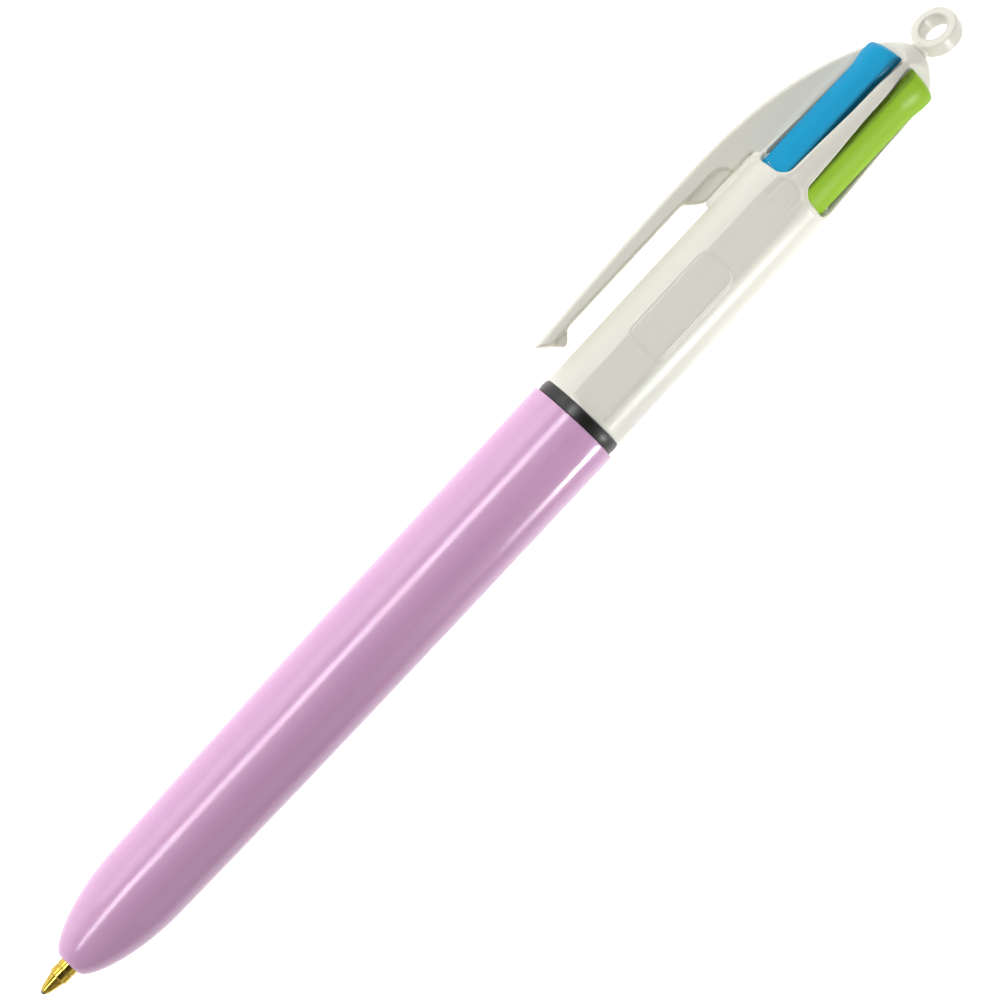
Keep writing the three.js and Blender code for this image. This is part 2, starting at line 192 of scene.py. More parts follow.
def around(points: np.ndarray, degrees: float) -> np.ndarray:
    """Turns (x, height, across) points round the pen's axis by an angle."""
    x, h, t = np.moveaxis(np.asarray(points, float), -1, 0)
    c, s = math.cos(math.radians(degrees)), math.sin(math.radians(degrees))
    return np.stack([x, h * c - t * s, h * s + t * c], -1)


def carried(corners: np.ndarray, stations: tuple) -> np.ndarray:
    """A closed section of (height, across) points, repeated at stations along the pen."""
    return np.stack([np.column_stack([np.full(len(corners), x), corners]) for x in stations])


def boxy(value: np.ndarray, power: float) -> np.ndarray:
    """A sine or cosine drawn out towards its extremes, which makes a circle more of a box."""
    return np.sign(value) * np.abs(value) ** power


class Shell:
    """Patches of one piece, each a grid of points, welded into one closed mesh."""

    def __init__(self) -> None:
        """Starts with no patches."""
        self.grids: list[np.ndarray] = []
        self.quads: list[np.ndarray] = []
        self.count = 0

    def add(self, grid: np.ndarray, round_rows: bool = False, round_columns: bool = False) -> "Shell":
        """Adds a grid of rows and columns of points.

        Args:
            grid: array of rows, columns and three numbers, in the pen's axes.
            round_rows: True if the last row joins the first.
            round_columns: True if the last column joins the first.

        Returns:
            The shell itself.
        """
        rows, columns = grid.shape[:2]
        index = np.arange(rows * columns).reshape(rows, columns) + self.count
        if round_rows:
            index = np.concatenate([index, index[:1]], 0)
        if round_columns:
            index = np.concatenate([index, index[:, :1]], 1)
        corners = [index[:-1, :-1], index[1:, :-1], index[1:, 1:], index[:-1, 1:]]
        self.quads.append(np.stack(corners, -1).reshape(-1, 4))
        self.grids.append(grid.reshape(-1, 3))
        self.count += rows * columns
        return self

    def lid(self, ring: np.ndarray) -> "Shell":
        """Closes a ring of points with a fan to its middle."""
        middle = np.broadcast_to(ring.mean(0), ring.shape)
        return self.add(np.stack([ring, middle]), round_columns=True)

    def bar(self, grid: np.ndarray) -> "Shell":
        """Adds closed sections carried along a path, with a lid on both ends."""
        return self.add(grid, round_columns=True).lid(grid[0]).lid(grid[-1])

    def make(self, name: str, sharp: float = 38.0, painted_shade: Callable | None = None) -> bpy.types.Object:
        """Welds the patches, turns the faces outwards and marks crests, hollows and painted shade.

        Args:
            name: name of the piece.
            sharp: angle in degrees above which an edge is shaded sharp.
            painted_shade: from points in the pen's axes, how much painted shade each takes, from 0 to 1.

        Returns:
            The new object, at the origin, its place in its mesh.
        """
        mesh = bpy.data.meshes.new(name)
        points = AXES.placed(np.concatenate(self.grids))
        quads = np.concatenate(self.quads)
        mesh.vertices.add(len(points))
        mesh.vertices.foreach_set("co", points.astype(np.float32).ravel())
        mesh.loops.add(quads.size)
        mesh.loops.foreach_set("vertex_index", quads.astype(np.int32).ravel())
        mesh.polygons.add(len(quads))
        mesh.polygons.foreach_set("loop_start", np.arange(0, quads.size, 4, dtype=np.int32))
        mesh.update(calc_edges=True)
        welded = bmesh.new()
        welded.from_mesh(mesh)
        bmesh.ops.remove_doubles(welded, verts=welded.verts, dist=WELD_DISTANCE)
        bmesh.ops.dissolve_degenerate(welded, edges=welded.edges, dist=NO_LENGTH)
        bmesh.ops.recalc_face_normals(welded, faces=welded.faces)
        welded.to_mesh(mesh)
        open_edges = sum(not edge.is_manifold for edge in welded.edges)
        welded.free()
        mesh.polygons.foreach_set("use_smooth", np.ones(len(mesh.polygons), bool))
        mesh.set_sharp_from_angle(angle=math.radians(sharp))
        mark_relief(mesh, painted_shade)
        piece = bpy.data.objects.new(name, mesh)
        bpy.context.scene.collection.objects.link(piece)
        log.info("%s: %d faces, %d open edges", name, len(mesh.polygons), open_edges)
        return piece


def mark_relief(mesh: bpy.types.Mesh, painted_shade: Callable | None) -> None:
    """Writes how far each point is a crest or a hollow, and its painted shade, as attributes from 0 to 1.

    The curvature along an edge is (difference of normals) . (difference of points) over the
    edge's length squared, in 1/mm, and a point takes the mean of its edges.

    Args:
        mesh: the mesh to mark.
        painted_shade: from points in the pen's axes, how much painted shade each takes, deep in a slot or a
            hole.
    """
    count = len(mesh.vertices)
    points, normals = np.zeros(count * 3), np.zeros(count * 3)
    mesh.vertices.foreach_get("co", points)
    mesh.vertex_normals.foreach_get("vector", normals)
    ends = np.zeros(len(mesh.edges) * 2, np.int32)
    mesh.edges.foreach_get("vertices", ends)
    points, normals, ends = points.reshape(-1, 3), normals.reshape(-1, 3), ends.reshape(-1, 2)
    along = points[ends[:, 1]] - points[ends[:, 0]]
    bend = ((normals[ends[:, 1]] - normals[ends[:, 0]]) * along).sum(1) * MM
    bend /= np.maximum((along**2).sum(1), 1e-12)
    total = sum(np.bincount(ends[:, i], bend, count) for i in (0, 1))
    edges = sum(np.bincount(ends[:, i], minlength=count) for i in (0, 1))
    mean = total / np.maximum(edges, 1)
    values = {"crest": smooth(*CREST_BENDS, mean), "hollow": smooth(*HOLLOW_BENDS, -mean)}
    # Painted shade: how much darker each point is painted where little light reaches it.
    if painted_shade:
        values["painted_shade"] = painted_shade(AXES.local(points))
    for name, value in values.items():
        layer = mesh.attributes.new(name, "FLOAT", "POINT")
        layer.data.foreach_set("value", value.astype(np.float32))


# --- Finishes -----------------------------------------------------------------------------------


def linear(red: int, green: int, blue: int) -> tuple[float, float, float, float]:
    """A display colour of three numbers up to 255 as a linear colour with alpha 1."""
    share = np.array([red, green, blue]) / 255
    value = np.where(share <= 0.04045, share / 12.92, ((share + 0.055) / 1.055) ** 2.4)
    return (*(float(v) for v in value), 1.0)


def toned(colour: tuple, share: float, lift: float = 0.0) -> tuple:
    """A display colour as a linear one, scaled by a share and lifted, no brighter than 1."""
    return tuple(min(1.0, lift + share * value) for value in linear(*colour)[:3]) + (1.0,)


class Graph:
    """A short way to place nodes in one tree and to join them."""

    def __init__(self, tree: bpy.types.NodeTree) -> None:
        """Holds the tree that the nodes go into."""
        self.tree = tree

    def node(self, kind: str, inputs: dict | None = None, **settings: object) -> bpy.types.Node:
        """Places a node.

        Args:
            kind: Blender's name of the node type.
            inputs: values or sockets for its inputs, by name or number.
            settings: values of the node's own properties.

        Returns:
            The new node.
        """
        made = self.tree.nodes.new(kind)
        for name, value in settings.items():
            setattr(made, name, value)
        self.feed(made, inputs or {})
        return made

    def feed(self, node: bpy.types.Node, inputs: dict) -> None:
        """Gives inputs of a node, by name or number, their values or the sockets that feed them."""
        for name, value in inputs.items():
            if isinstance(value, bpy.types.NodeSocket):
                self.tree.links.new(value, node.inputs[name])
            else:
                node.inputs[name].default_value = value

    def math(self, operation: str, first: object, second: object = 0.0) -> bpy.types.NodeSocket:
        """One operation on two values or sockets."""
        return self.node("ShaderNodeMath", {0: first, 1: second}, operation=operation).outputs[0]

    def times(self, first: object, second: object) -> bpy.types.NodeSocket:
        """The product of two values or sockets."""
        return self.math("MULTIPLY", first, second)

    def plus(self, first: object, second: object) -> bpy.types.NodeSocket:
        """The sum of two values or sockets."""
        return self.math("ADD", first, second)

    def noise(self, place: bpy.types.NodeSocket, scale: object, detail: float) -> bpy.types.NodeSocket:
        """Noise at a place, from 0 to 1, of a scale in 1/mm and a number of finer octaves."""
        inputs = {"Vector": place, "Scale": scale, "Detail": detail}
        return self.node("ShaderNodeTexNoise", inputs).outputs[0]

    def mix(self, factor: object, first: object, second: object) -> bpy.types.NodeSocket:
        """A colour between two colours, by a factor."""
        inputs = {"Factor": factor, 6: first, 7: second}
        return self.node("ShaderNodeMix", inputs, data_type="RGBA").outputs[2]

    def spread(self, value: object, low: float, high: float, to: tuple) -> bpy.types.NodeSocket:
        """A value between low and high, carried to the range of two numbers, and clamped."""
        inputs = {0: value, 1: low, 2: high, 3: to[0], 4: to[1]}
        return self.node("ShaderNodeMapRange", inputs).outputs[0]

    def bump(self, height: object, strength: float, relief: float) -> bpy.types.NodeSocket:
        """Normals bent by a height, of a strength and a relief in millimetres."""
        inputs = {"Height": height, "Strength": strength, "Distance": relief * MM}
        return self.node("ShaderNodeBump", inputs).outputs[0]

    def group(self, name: str, **inputs: object) -> bpy.types.Node:
        """Places one of the shared groups with its own values."""
        made = self.node("ShaderNodeGroup", node_tree=SHARED[name])
        for key, value in inputs.items():
            made.inputs[key.replace("_", " ").title()].default_value = value
        return made


def shared_group(name: str, inputs: dict, outputs: list) -> tuple[Graph, dict, dict]:
    """Starts a shader group with its sockets.

    Args:
        name: name of the group.
        inputs: names and first values of its value sockets.
        outputs: names of its value sockets.

    Returns:
        The graph, its input sockets by name, and its output node's sockets by name.
    """
    tree = bpy.data.node_groups.new(name, "ShaderNodeTree")
    for key, value in inputs.items():
        socket = tree.interface.new_socket(key, in_out="INPUT", socket_type="NodeSocketFloat")
        socket.default_value = value
    for key in outputs:
        tree.interface.new_socket(key, in_out="OUTPUT", socket_type="NodeSocketFloat")
    graph = Graph(tree)
    given = graph.node("NodeGroupInput").outputs
    result = graph.node("NodeGroupOutput").inputs
    return graph, {key: given[key] for key in inputs}, {key: result[key] for key in outputs}


def millimetres(graph: Graph, stretch: tuple = (1, 1, 1), turn: float = 0.0) -> bpy.types.NodeSocket:
    """Object coordinates in millimetres, turned about the pen's length and stretched."""
    source = graph.node("ShaderNodeTexCoord").outputs["Object"]
    scale = tuple(value / MM for value in stretch)
    inputs = {"Vector": source, "Scale": scale, "Rotation": (AXES.roll, 0, turn)}
    return graph.node("ShaderNodeMapping", inputs).outputs[0]


# Stretches are shares of the noise's frequency along the pen's length and the two ways across.
FLOW_STRETCH = (0.12, 1, 1)
FLOW_SHARE = 0.6
GRAIN_SHARE = 0.35
HAIRLINES = (((0.16, 2.6, 2.6), 0.12), ((0.3, 1.9, 1.9), -0.5))
HAIR_WIDTH = 0.006
SMUDGE_STRETCH = (0.5, 1, 1)
SPECK_RADII = (0.03, 0.075)


def moulded_skin() -> bpy.types.NodeTree:
    """Fine grain and slow waves of a moulded surface: a height, and a mottle of the colour."""
    inputs = {"Grain": 6.0, "Waves": 0.35}
    graph, given, out = shared_group("moulded_skin", inputs, ["Height", "Mottle"])
    place = millimetres(graph)
    grain = graph.noise(place, given["Grain"], 3.0)
    waves = graph.noise(place, given["Waves"], 2.0)
    flow = graph.noise(millimetres(graph, FLOW_STRETCH), 1.1, 2.0)
    height = graph.plus(graph.times(grain, GRAIN_SHARE), waves)
    graph.tree.links.new(height, out["Height"])
    mottle = graph.plus(graph.times(flow, FLOW_SHARE), graph.times(waves, 1 - FLOW_SHARE))
    graph.tree.links.new(mottle, out["Mottle"])
    return graph.tree


def handling_marks() -> bpy.types.NodeTree:
    """Marks of use: hairline scratches, smudges left by fingers, and specks of dust."""
    inputs = {"Scratch Density": 0.4, "Dust Density": 0.3}
    graph, given, out = shared_group("handling_marks", inputs, ["Scratches", "Smudges", "Dust"])
    hairs = []
    for stretch, turn in HAIRLINES:
        noise = graph.noise(millimetres(graph, stretch, turn), 2.2, 1.0)
        narrow = graph.math("ABSOLUTE", graph.math("SUBTRACT", noise, 0.5))
        hairs.append(graph.spread(narrow, 0.0, HAIR_WIDTH, (1.0, 0.0)))
    patchy = graph.noise(millimetres(graph), 0.5, 2.0)
    where = graph.spread(patchy, 0.45, 0.7, (0.0, 1.0))
    both = graph.math("MAXIMUM", *hairs)
    kept = graph.times(graph.times(both, where), given["Scratch Density"])
    graph.tree.links.new(kept, out["Scratches"])
    smudge = graph.noise(millimetres(graph, SMUDGE_STRETCH), 0.22, 3.0)
    graph.tree.links.new(graph.spread(smudge, 0.3, 0.75, (0.0, 1.0)), out["Smudges"])
    specks = graph.node("ShaderNodeTexVoronoi", {"Vector": millimetres(graph), "Scale": 1.7})
    dots = graph.spread(specks.outputs["Distance"], *SPECK_RADII, (1.0, 0.0))
    graph.tree.links.new(graph.times(dots, given["Dust Density"]), out["Dust"])
    return graph.tree


def wear_and_painted_shade() -> bpy.types.NodeTree:
    """Rubbed crests, darker hollows and painted shade deep in slots and holes, broken up by noise.

    All three come from the attributes that mark_relief writes on the mesh.

    Returns:
        The group's tree.
    """
    graph, given, out = shared_group("wear_and_painted_shade", {"Break Up": 0.5}, ["Rubbed", "Dark Hollows", "Shade"])
    noise = graph.noise(millimetres(graph), 2.4, 4.0)
    uneven = graph.math("SUBTRACT", 1.0, graph.times(noise, given["Break Up"]))
    # The third attribute is painted shade, marked on points deep in slots, in the loop's hole and on the
    # sliders' sides.
    for attribute, name in (("crest", "Rubbed"), ("hollow", "Dark Hollows"), ("painted_shade", "Shade")):
        relief = graph.node("ShaderNodeAttribute", attribute_name=attribute).outputs["Fac"]
        graph.tree.links.new(graph.times(relief, uneven), out[name])
    return graph.tree


SHARED = {tree.name: tree for tree in (moulded_skin(), handling_marks(), wear_and_painted_shade())}


# How strongly the marks tint a plastic, roughen it and cut into it.
DUST = (214, 210, 202)
DUST_TINT = 0.22
HOLLOW_DARKENING = 0.35
RUBBED_TINT = 0.16
RUBBED_ROUGH = 0.08
SCRATCH_ROUGH = 0.15
SCRATCH_DEPTH = 0.5


def begun(name: str) -> tuple[bpy.types.Material, Graph, bpy.types.Node]:
    """A new material, the graph of its nodes, and its shader."""
    material = bpy.data.materials.new(name)
    material.use_nodes = True
    return material, Graph(material.node_tree), material.node_tree.nodes["Principled BSDF"]


class Gloss(Enum):
    """How smooth a moulded surface comes out of its tool: its lowest and highest roughness."""

    POLISHED = (0.16, 0.26)
    BRIGHT = (0.3, 0.38)
    SATIN = (0.34, 0.48)


@dataclass(frozen=True)
class Plastic:
    """A moulded plastic: two close tones, mottled, with grain, marks of use, worn crests, darker hollows
    and painted shade deep in slots.

    Relief is the height of its grain in millimetres, and depth how far painted shade darkens it deep in a
    slot or hole.
    """

    name: str
    tone: tuple
    deep: tuple
    gloss: Gloss
    glow: float = 0.0
    grain: float = 6.0
    relief: float = 0.008
    coat: float = 0.0
    shine: float = 0.5
    depth: float = 0.75

    def build(self) -> bpy.types.Material:
        """Makes the material.

        Returns:
            The finished material.
        """
        material, graph, shader = begun(self.name)
        skin = graph.group("moulded_skin", grain=self.grain).outputs
        marks = graph.group("handling_marks").outputs
        wear_and_shade = graph.group("wear_and_painted_shade").outputs
        blend = graph.spread(skin["Mottle"], 0.3, 0.7, (0.0, 1.0))
        colour = graph.mix(blend, linear(*self.tone), linear(*self.deep))
        # Hollows, found from the mesh's curvature, are darkened.
        colour = graph.mix(graph.times(wear_and_shade["Dark Hollows"], HOLLOW_DARKENING), colour, toned(self.deep, 0.35))
        # Painted shade: the colour is pulled towards a dim copy of the deep tone where the mesh is marked
        # as lying deep in shade.
        colour = graph.mix(graph.times(wear_and_shade["Shade"], self.depth), colour, toned(self.deep, 0.06))
        pale = toned(self.tone, 0.8, 0.25)
        colour = graph.mix(graph.times(wear_and_shade["Rubbed"], RUBBED_TINT), colour, pale)
        colour = graph.mix(graph.times(marks["Dust"], DUST_TINT), colour, linear(*DUST))
        rough = graph.spread(marks["Smudges"], 0.0, 1.0, self.gloss.value)
        rough = graph.plus(rough, graph.times(wear_and_shade["Rubbed"], RUBBED_ROUGH))
        rough = graph.plus(rough, graph.times(marks["Scratches"], SCRATCH_ROUGH))
        cut = graph.times(marks["Scratches"], SCRATCH_DEPTH)
        lifted = graph.math("SUBTRACT", skin["Height"], cut)
        bump = graph.bump(lifted, 0.35, self.relief)
        graph.feed(shader, {"Base Color": colour, "Roughness": rough, "Normal": bump, "IOR": 1.5})
        graph.feed(shader, {"Specular IOR Level": self.shine})
        graph.feed(shader, {"Coat Weight": self.coat, "Coat Roughness": 0.08})
        if self.glow:
            graph.feed(shader, {"Subsurface Weight": self.glow, "Subsurface Scale": 0.7 * MM})
            graph.feed(shader, {"Subsurface Radius": (1.0, 0.8, 0.6)})
        return material


@dataclass(frozen=True)
class TurnedMetal:
    """A metal cut on a lathe: fine tool rings across the pen, streaked and a little tarnished."""

    name: str
    tone: tuple
    deep: tuple
    rough: tuple = (0.14, 0.3)
    rings: float = 16.0
    relief: float = 0.006

    def build(self) -> bpy.types.Material:
        """Makes the material.

        Returns:
            The finished material.
        """
        material, graph, shader = begun(self.name)
        wave = graph.noise(millimetres(graph, (self.rings, 0.4, 0.4)), 1.0, 2.0)
        stain = graph.noise(millimetres(graph), 1.6, 4.0)
        marks = graph.group("handling_marks", scratch_density=0.8).outputs
        wear_and_shade = graph.group("wear_and_painted_shade").outputs
        dull = graph.spread(stain, 0.4, 0.7, (0.0, 1.0))
        colour = graph.mix(dull, linear(*self.tone), linear(*self.deep))
        # Hollows, found from the mesh's curvature, are darkened.
        colour = graph.mix(graph.times(wear_and_shade["Dark Hollows"], 0.7), colour, toned(self.deep, 0.2))
        uneven = graph.plus(wave, graph.times(dull, 0.4))
        rough = graph.spread(uneven, 0.4, 0.95, self.rough)
        rough = graph.plus(rough, graph.times(marks["Scratches"], 0.2))
        bump = graph.bump(wave, 0.5, self.relief)
        graph.feed(shader, {"Base Color": colour, "Roughness": rough, "Normal": bump, "Metallic": 1.0})
        return material


@dataclass(frozen=True)
class ClearPlastic:
    """A milky see-through tube wall, drawn lengthwise, with faint streaks."""

    name: str
    tone: tuple
    clear: float = 0.8

    def build(self) -> bpy.types.Material:
        """Makes the material.

        Returns:
            The finished material.
        """
        material, graph, shader = begun(self.name)
        streak = graph.noise(millimetres(graph, (0.05, 2, 2)), 1.4, 3.0)
        marks = graph.group("handling_marks", scratch_density=0.6).outputs
        deep = tuple(int(v * 0.93) for v in self.tone)
        colour = graph.mix(streak, linear(*self.tone), linear(*deep))
        rough = graph.spread(marks["Smudges"], 0.0, 1.0, (0.14, 0.3))
        bump = graph.bump(streak, 0.3, 0.01)
        graph.feed(shader, {"Base Color": colour, "Roughness": rough, "Normal": bump})
        graph.feed(shader, {"Transmission Weight": self.clear, "IOR": 1.49})
        return material


LILAC = Plastic("lilac_plastic", (224, 174, 213), (220, 169, 212), Gloss.POLISHED, 0.06, coat=0.2)
BLACK = Plastic("black_plastic", (30, 28, 26), (22, 20, 19), Gloss.BRIGHT, relief=0.02)
IVORY = Plastic("ivory_plastic", (231, 229, 217), (229, 227, 214), Gloss.BRIGHT, 0.06)
INNER = Plastic("ivory_inner_plastic", (226, 222, 208), (216, 211, 196), Gloss.SATIN, 0.05)
BRASS = TurnedMetal("turned_brass", (220, 190, 84), (186, 150, 58), (0.08, 0.18), relief=0.003)
STEEL = TurnedMetal("drawn_steel", (196, 197, 200), (150, 151, 154), rings=3.0)
CARBIDE = TurnedMetal("ball_carbide", (112, 112, 116), (84, 84, 88), (0.1, 0.18), 8.0, 0.002)
TUBING = ClearPlastic("refill_tubing_plastic", (236, 240, 243))


class Colour(Enum):
    """The four writing colours: the angle round the pen, and two tones of slider and of ink."""

    BLUE = (45, (0, 156, 204), (0, 150, 198), (22, 44, 138))
    GREEN = (135, (154, 198, 52), (149, 193, 48), (26, 122, 58))
    PURPLE = (225, (124, 82, 178), (113, 72, 168), (78, 34, 128))
    PINK = (315, (226, 88, 158), (217, 78, 149), (196, 30, 104))

    @property
    def key(self) -> str:
        """The colour's name as the nodes and bodies spell it."""
        return self.name.lower()

    @property
    def angle(self) -> float:
        """The angle of its slider round the pen, in degrees from the clip."""
        return float(self.value[0])

    @property
    def pressed(self) -> bool:
        """True for the one slider that is down."""
        return self is Colour.PURPLE

    @property
    def sunk(self) -> float:
        """How far its slider is down, in millimetres."""
        return TRAVEL if self.pressed else 0.0

    def plastic(self) -> Plastic:
        """The slider's plastic."""
        _, tone, deep, _ = self.value
        name = f"{self.key}_slider_plastic"
        return Plastic(name, tone, deep, Gloss.BRIGHT, shine=0.12, depth=0.9)

    def ink(self) -> Plastic:
        """The ink's thick, glossy body."""
        tone = self.value[3]
        deep = tuple(int(0.8 * v) for v in tone)
        return Plastic(f"{self.key}_ink_paste", tone, deep, Gloss.POLISHED, grain=3.0, coat=0.5)


class Workshop:
    """Dresses finished pieces: one material for each finish, made when it is first asked for."""

    def __init__(self) -> None:
        """Starts with no material made."""
        self.made: dict[str, bpy.types.Material] = {}

    def material(self, finish: Plastic | TurnedMetal | ClearPlastic) -> bpy.types.Material:
        """The material of a finish."""
        if finish.name not in self.made:
            self.made[finish.name] = finish.build()
        return self.made[finish.name]

    def dress(
        self, piece: bpy.types.Object, finish: object, slot: str, body: str | None, *nodes: str
    ) -> None:
        """Gives a piece its finish, its body and the CAD nodes that it stands for.

        Args:
            piece: the piece.
            finish: its finish.
            slot: the record's material slot; not used.
            body: the body that it rides on, or None for none.
            nodes: CAD nodes that it replaces.
        """
        piece.data.materials.clear()
        piece.data.materials.append(self.material(finish))
        if body:
            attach(piece, body)
        if nodes:
            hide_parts(*nodes)

    def keep(self, node: str, finish: object) -> None:
        """Gives a CAD node that stays a finish of its own."""
        piece = frame["nodes"][node]
        if not piece.material_slots:
            piece.data.materials.append(None)
        for holder in piece.material_slots:
            holder.material = self.material(finish)


# --- Lower barrel and ring ----------------------------------------------------------------------


@dataclass
class LowerBarrel:
    """The lilac barrel with its blunt writing nose."""

    nose_x: float = 4.78
    nose_r: float = 1.82
    nose_length: float = 13.38
    shoulder_r: float = 5.255
    power: float = 0.72
    swell: float = 0.68
    swell_length: float = 29.5
    hole_r: float = 1.48
    bore_r: float = 4.95
    rim: float = 0.16
    steps: int = 144

    def radius(self, x: np.ndarray) -> np.ndarray:
        """Outer radius: a nose of 1 minus the squared share to a power, then a fading swell."""
        shoulder = self.nose_x + self.nose_length
        back = np.clip((shoulder - x) / self.nose_length, 0, 1)
        nose = self.nose_r + (self.shoulder_r - self.nose_r) * (1 - back**2) ** self.power
        grip = self.swell * (1 - np.exp(-np.maximum(x - shoulder, 0) / self.swell_length))
        return nose + grip

    def build(self) -> bpy.types.Object:
        """Turns the closed section: skin, rounded mouth, stepped bore and rounded rear edge."""
        share = np.linspace(0, 1, 110)
        x = self.nose_x + (BARREL_END - self.rim - self.nose_x) * share**2.1
        skin = np.stack([x, self.radius(x)], 1)
        rear = float(self.radius(np.array(BARREL_END)))
        back = [[BARREL_END - self.rim, rear], [BARREL_END, rear - 0.02], [BARREL_END, rear - 0.3]]
        bore = [
            [BARREL_END, self.bore_r + 0.15], [BARREL_END - 0.2, self.bore_r],
            [80.5, self.bore_r], [80.5, 4.45], [20, 4.3], [12.2, 3.8],
        ]
        mouth = [
            [5.6, self.hole_r], [self.nose_x + 0.17, self.hole_r],
            [self.nose_x, 1.56], [self.nose_x, 1.78],
        ]
        profile = np.concatenate([skin, eased(back, 0.14), bore, eased(mouth, 0.1)])
        return Shell().add(lathe(profile, self.steps), True, True).make("barrel_shell")

    def dress(self, piece: bpy.types.Object, shop: Workshop) -> None:
        """Lilac, glossy, on the barrel's body."""
        shop.dress(piece, LILAC, "lilac_barrel", "barrel", "lower_barrel")


@dataclass
class TrimRing:
    """The black ring between the two halves, slightly crowned with eased edges."""

    start: float = 88.36
    end: float = 89.81
    radius: float = 5.5
    bore: float = 4.95

    def build(self) -> bpy.types.Object:
        """Turns the ring's closed section."""
        middle = (self.start + self.end) / 2
        corners = [
            [self.start, self.bore], [self.start, self.radius - 0.03], [middle, self.radius + 0.03],
            [self.end, self.radius - 0.05], [self.end, self.bore],
        ]
        return Shell().add(lathe(looped(corners, 0.14), 144), True, True).make("ring_band")

    def dress(self, piece: bpy.types.Object, shop: Workshop) -> None:
        """Black, on the pen's body."""
        shop.dress(piece, BLACK, "black_trim", "body", "trim_ring")


# --- Upper body ---------------------------------------------------------------------------------


@dataclass
class Slots:
    """The four slider slots: in plan, a strip with two rounded corners at its lower end."""

    start: float = 124.35
    half: float = 2.62
    corner: float = 1.5
    top: float = 143.0
    angles: tuple = (45.0, 135.0, 225.0, 315.0)

    def edge(self, offset: float, side_steps: int, end_steps: int) -> np.ndarray:
        """The slot's edge in plan, moved outwards by an offset.

        Two straight sides joined by quarter circles about the corners' centres and a straight
        end: x = c - (r + o) cos a and t = t0 + (r + o) sin a on a corner.

        Args:
            offset: how far outside the slot the line runs.
            side_steps: points on each straight side.
            end_steps: points on each corner, and half as many on the end between them.

        Returns:
            Points (x, across), from the top of one side round the end to the top of the other.
        """
        r, centre, inner = self.corner + offset, self.start + self.corner, self.half - self.corner
        a = np.linspace(QUARTER, 0, end_steps)
        corner = np.stack([centre - r * np.cos(a), -inner - r * np.sin(a)], 1)
        flat = np.linspace(-inner, inner, end_steps // 2 + 2)[1:-1]
        end = np.stack([np.full_like(flat, centre - r), flat], 1)
        x = self.top + (centre - self.top) * np.linspace(0, 1, side_steps)[:-1]
        side = np.stack([x, np.full_like(x, -self.half - offset)], 1)
        mirrored = (side * [1, -1])[::-1]
        return np.concatenate([side, corner, end, (corner * [1, -1])[::-1], mirrored])

    def distance(self, x: np.ndarray, t: np.ndarray) -> np.ndarray:
        """Distance outside the slot's edge in plan, as to a box with rounded corners."""
        low = np.maximum(self.start + self.corner - x, 0)
        out = np.abs(t) - (self.half - self.corner)
        beside = np.minimum(out, 0) * (low <= 0)
        return np.hypot(low, np.maximum(out, 0)) + beside - self.corner


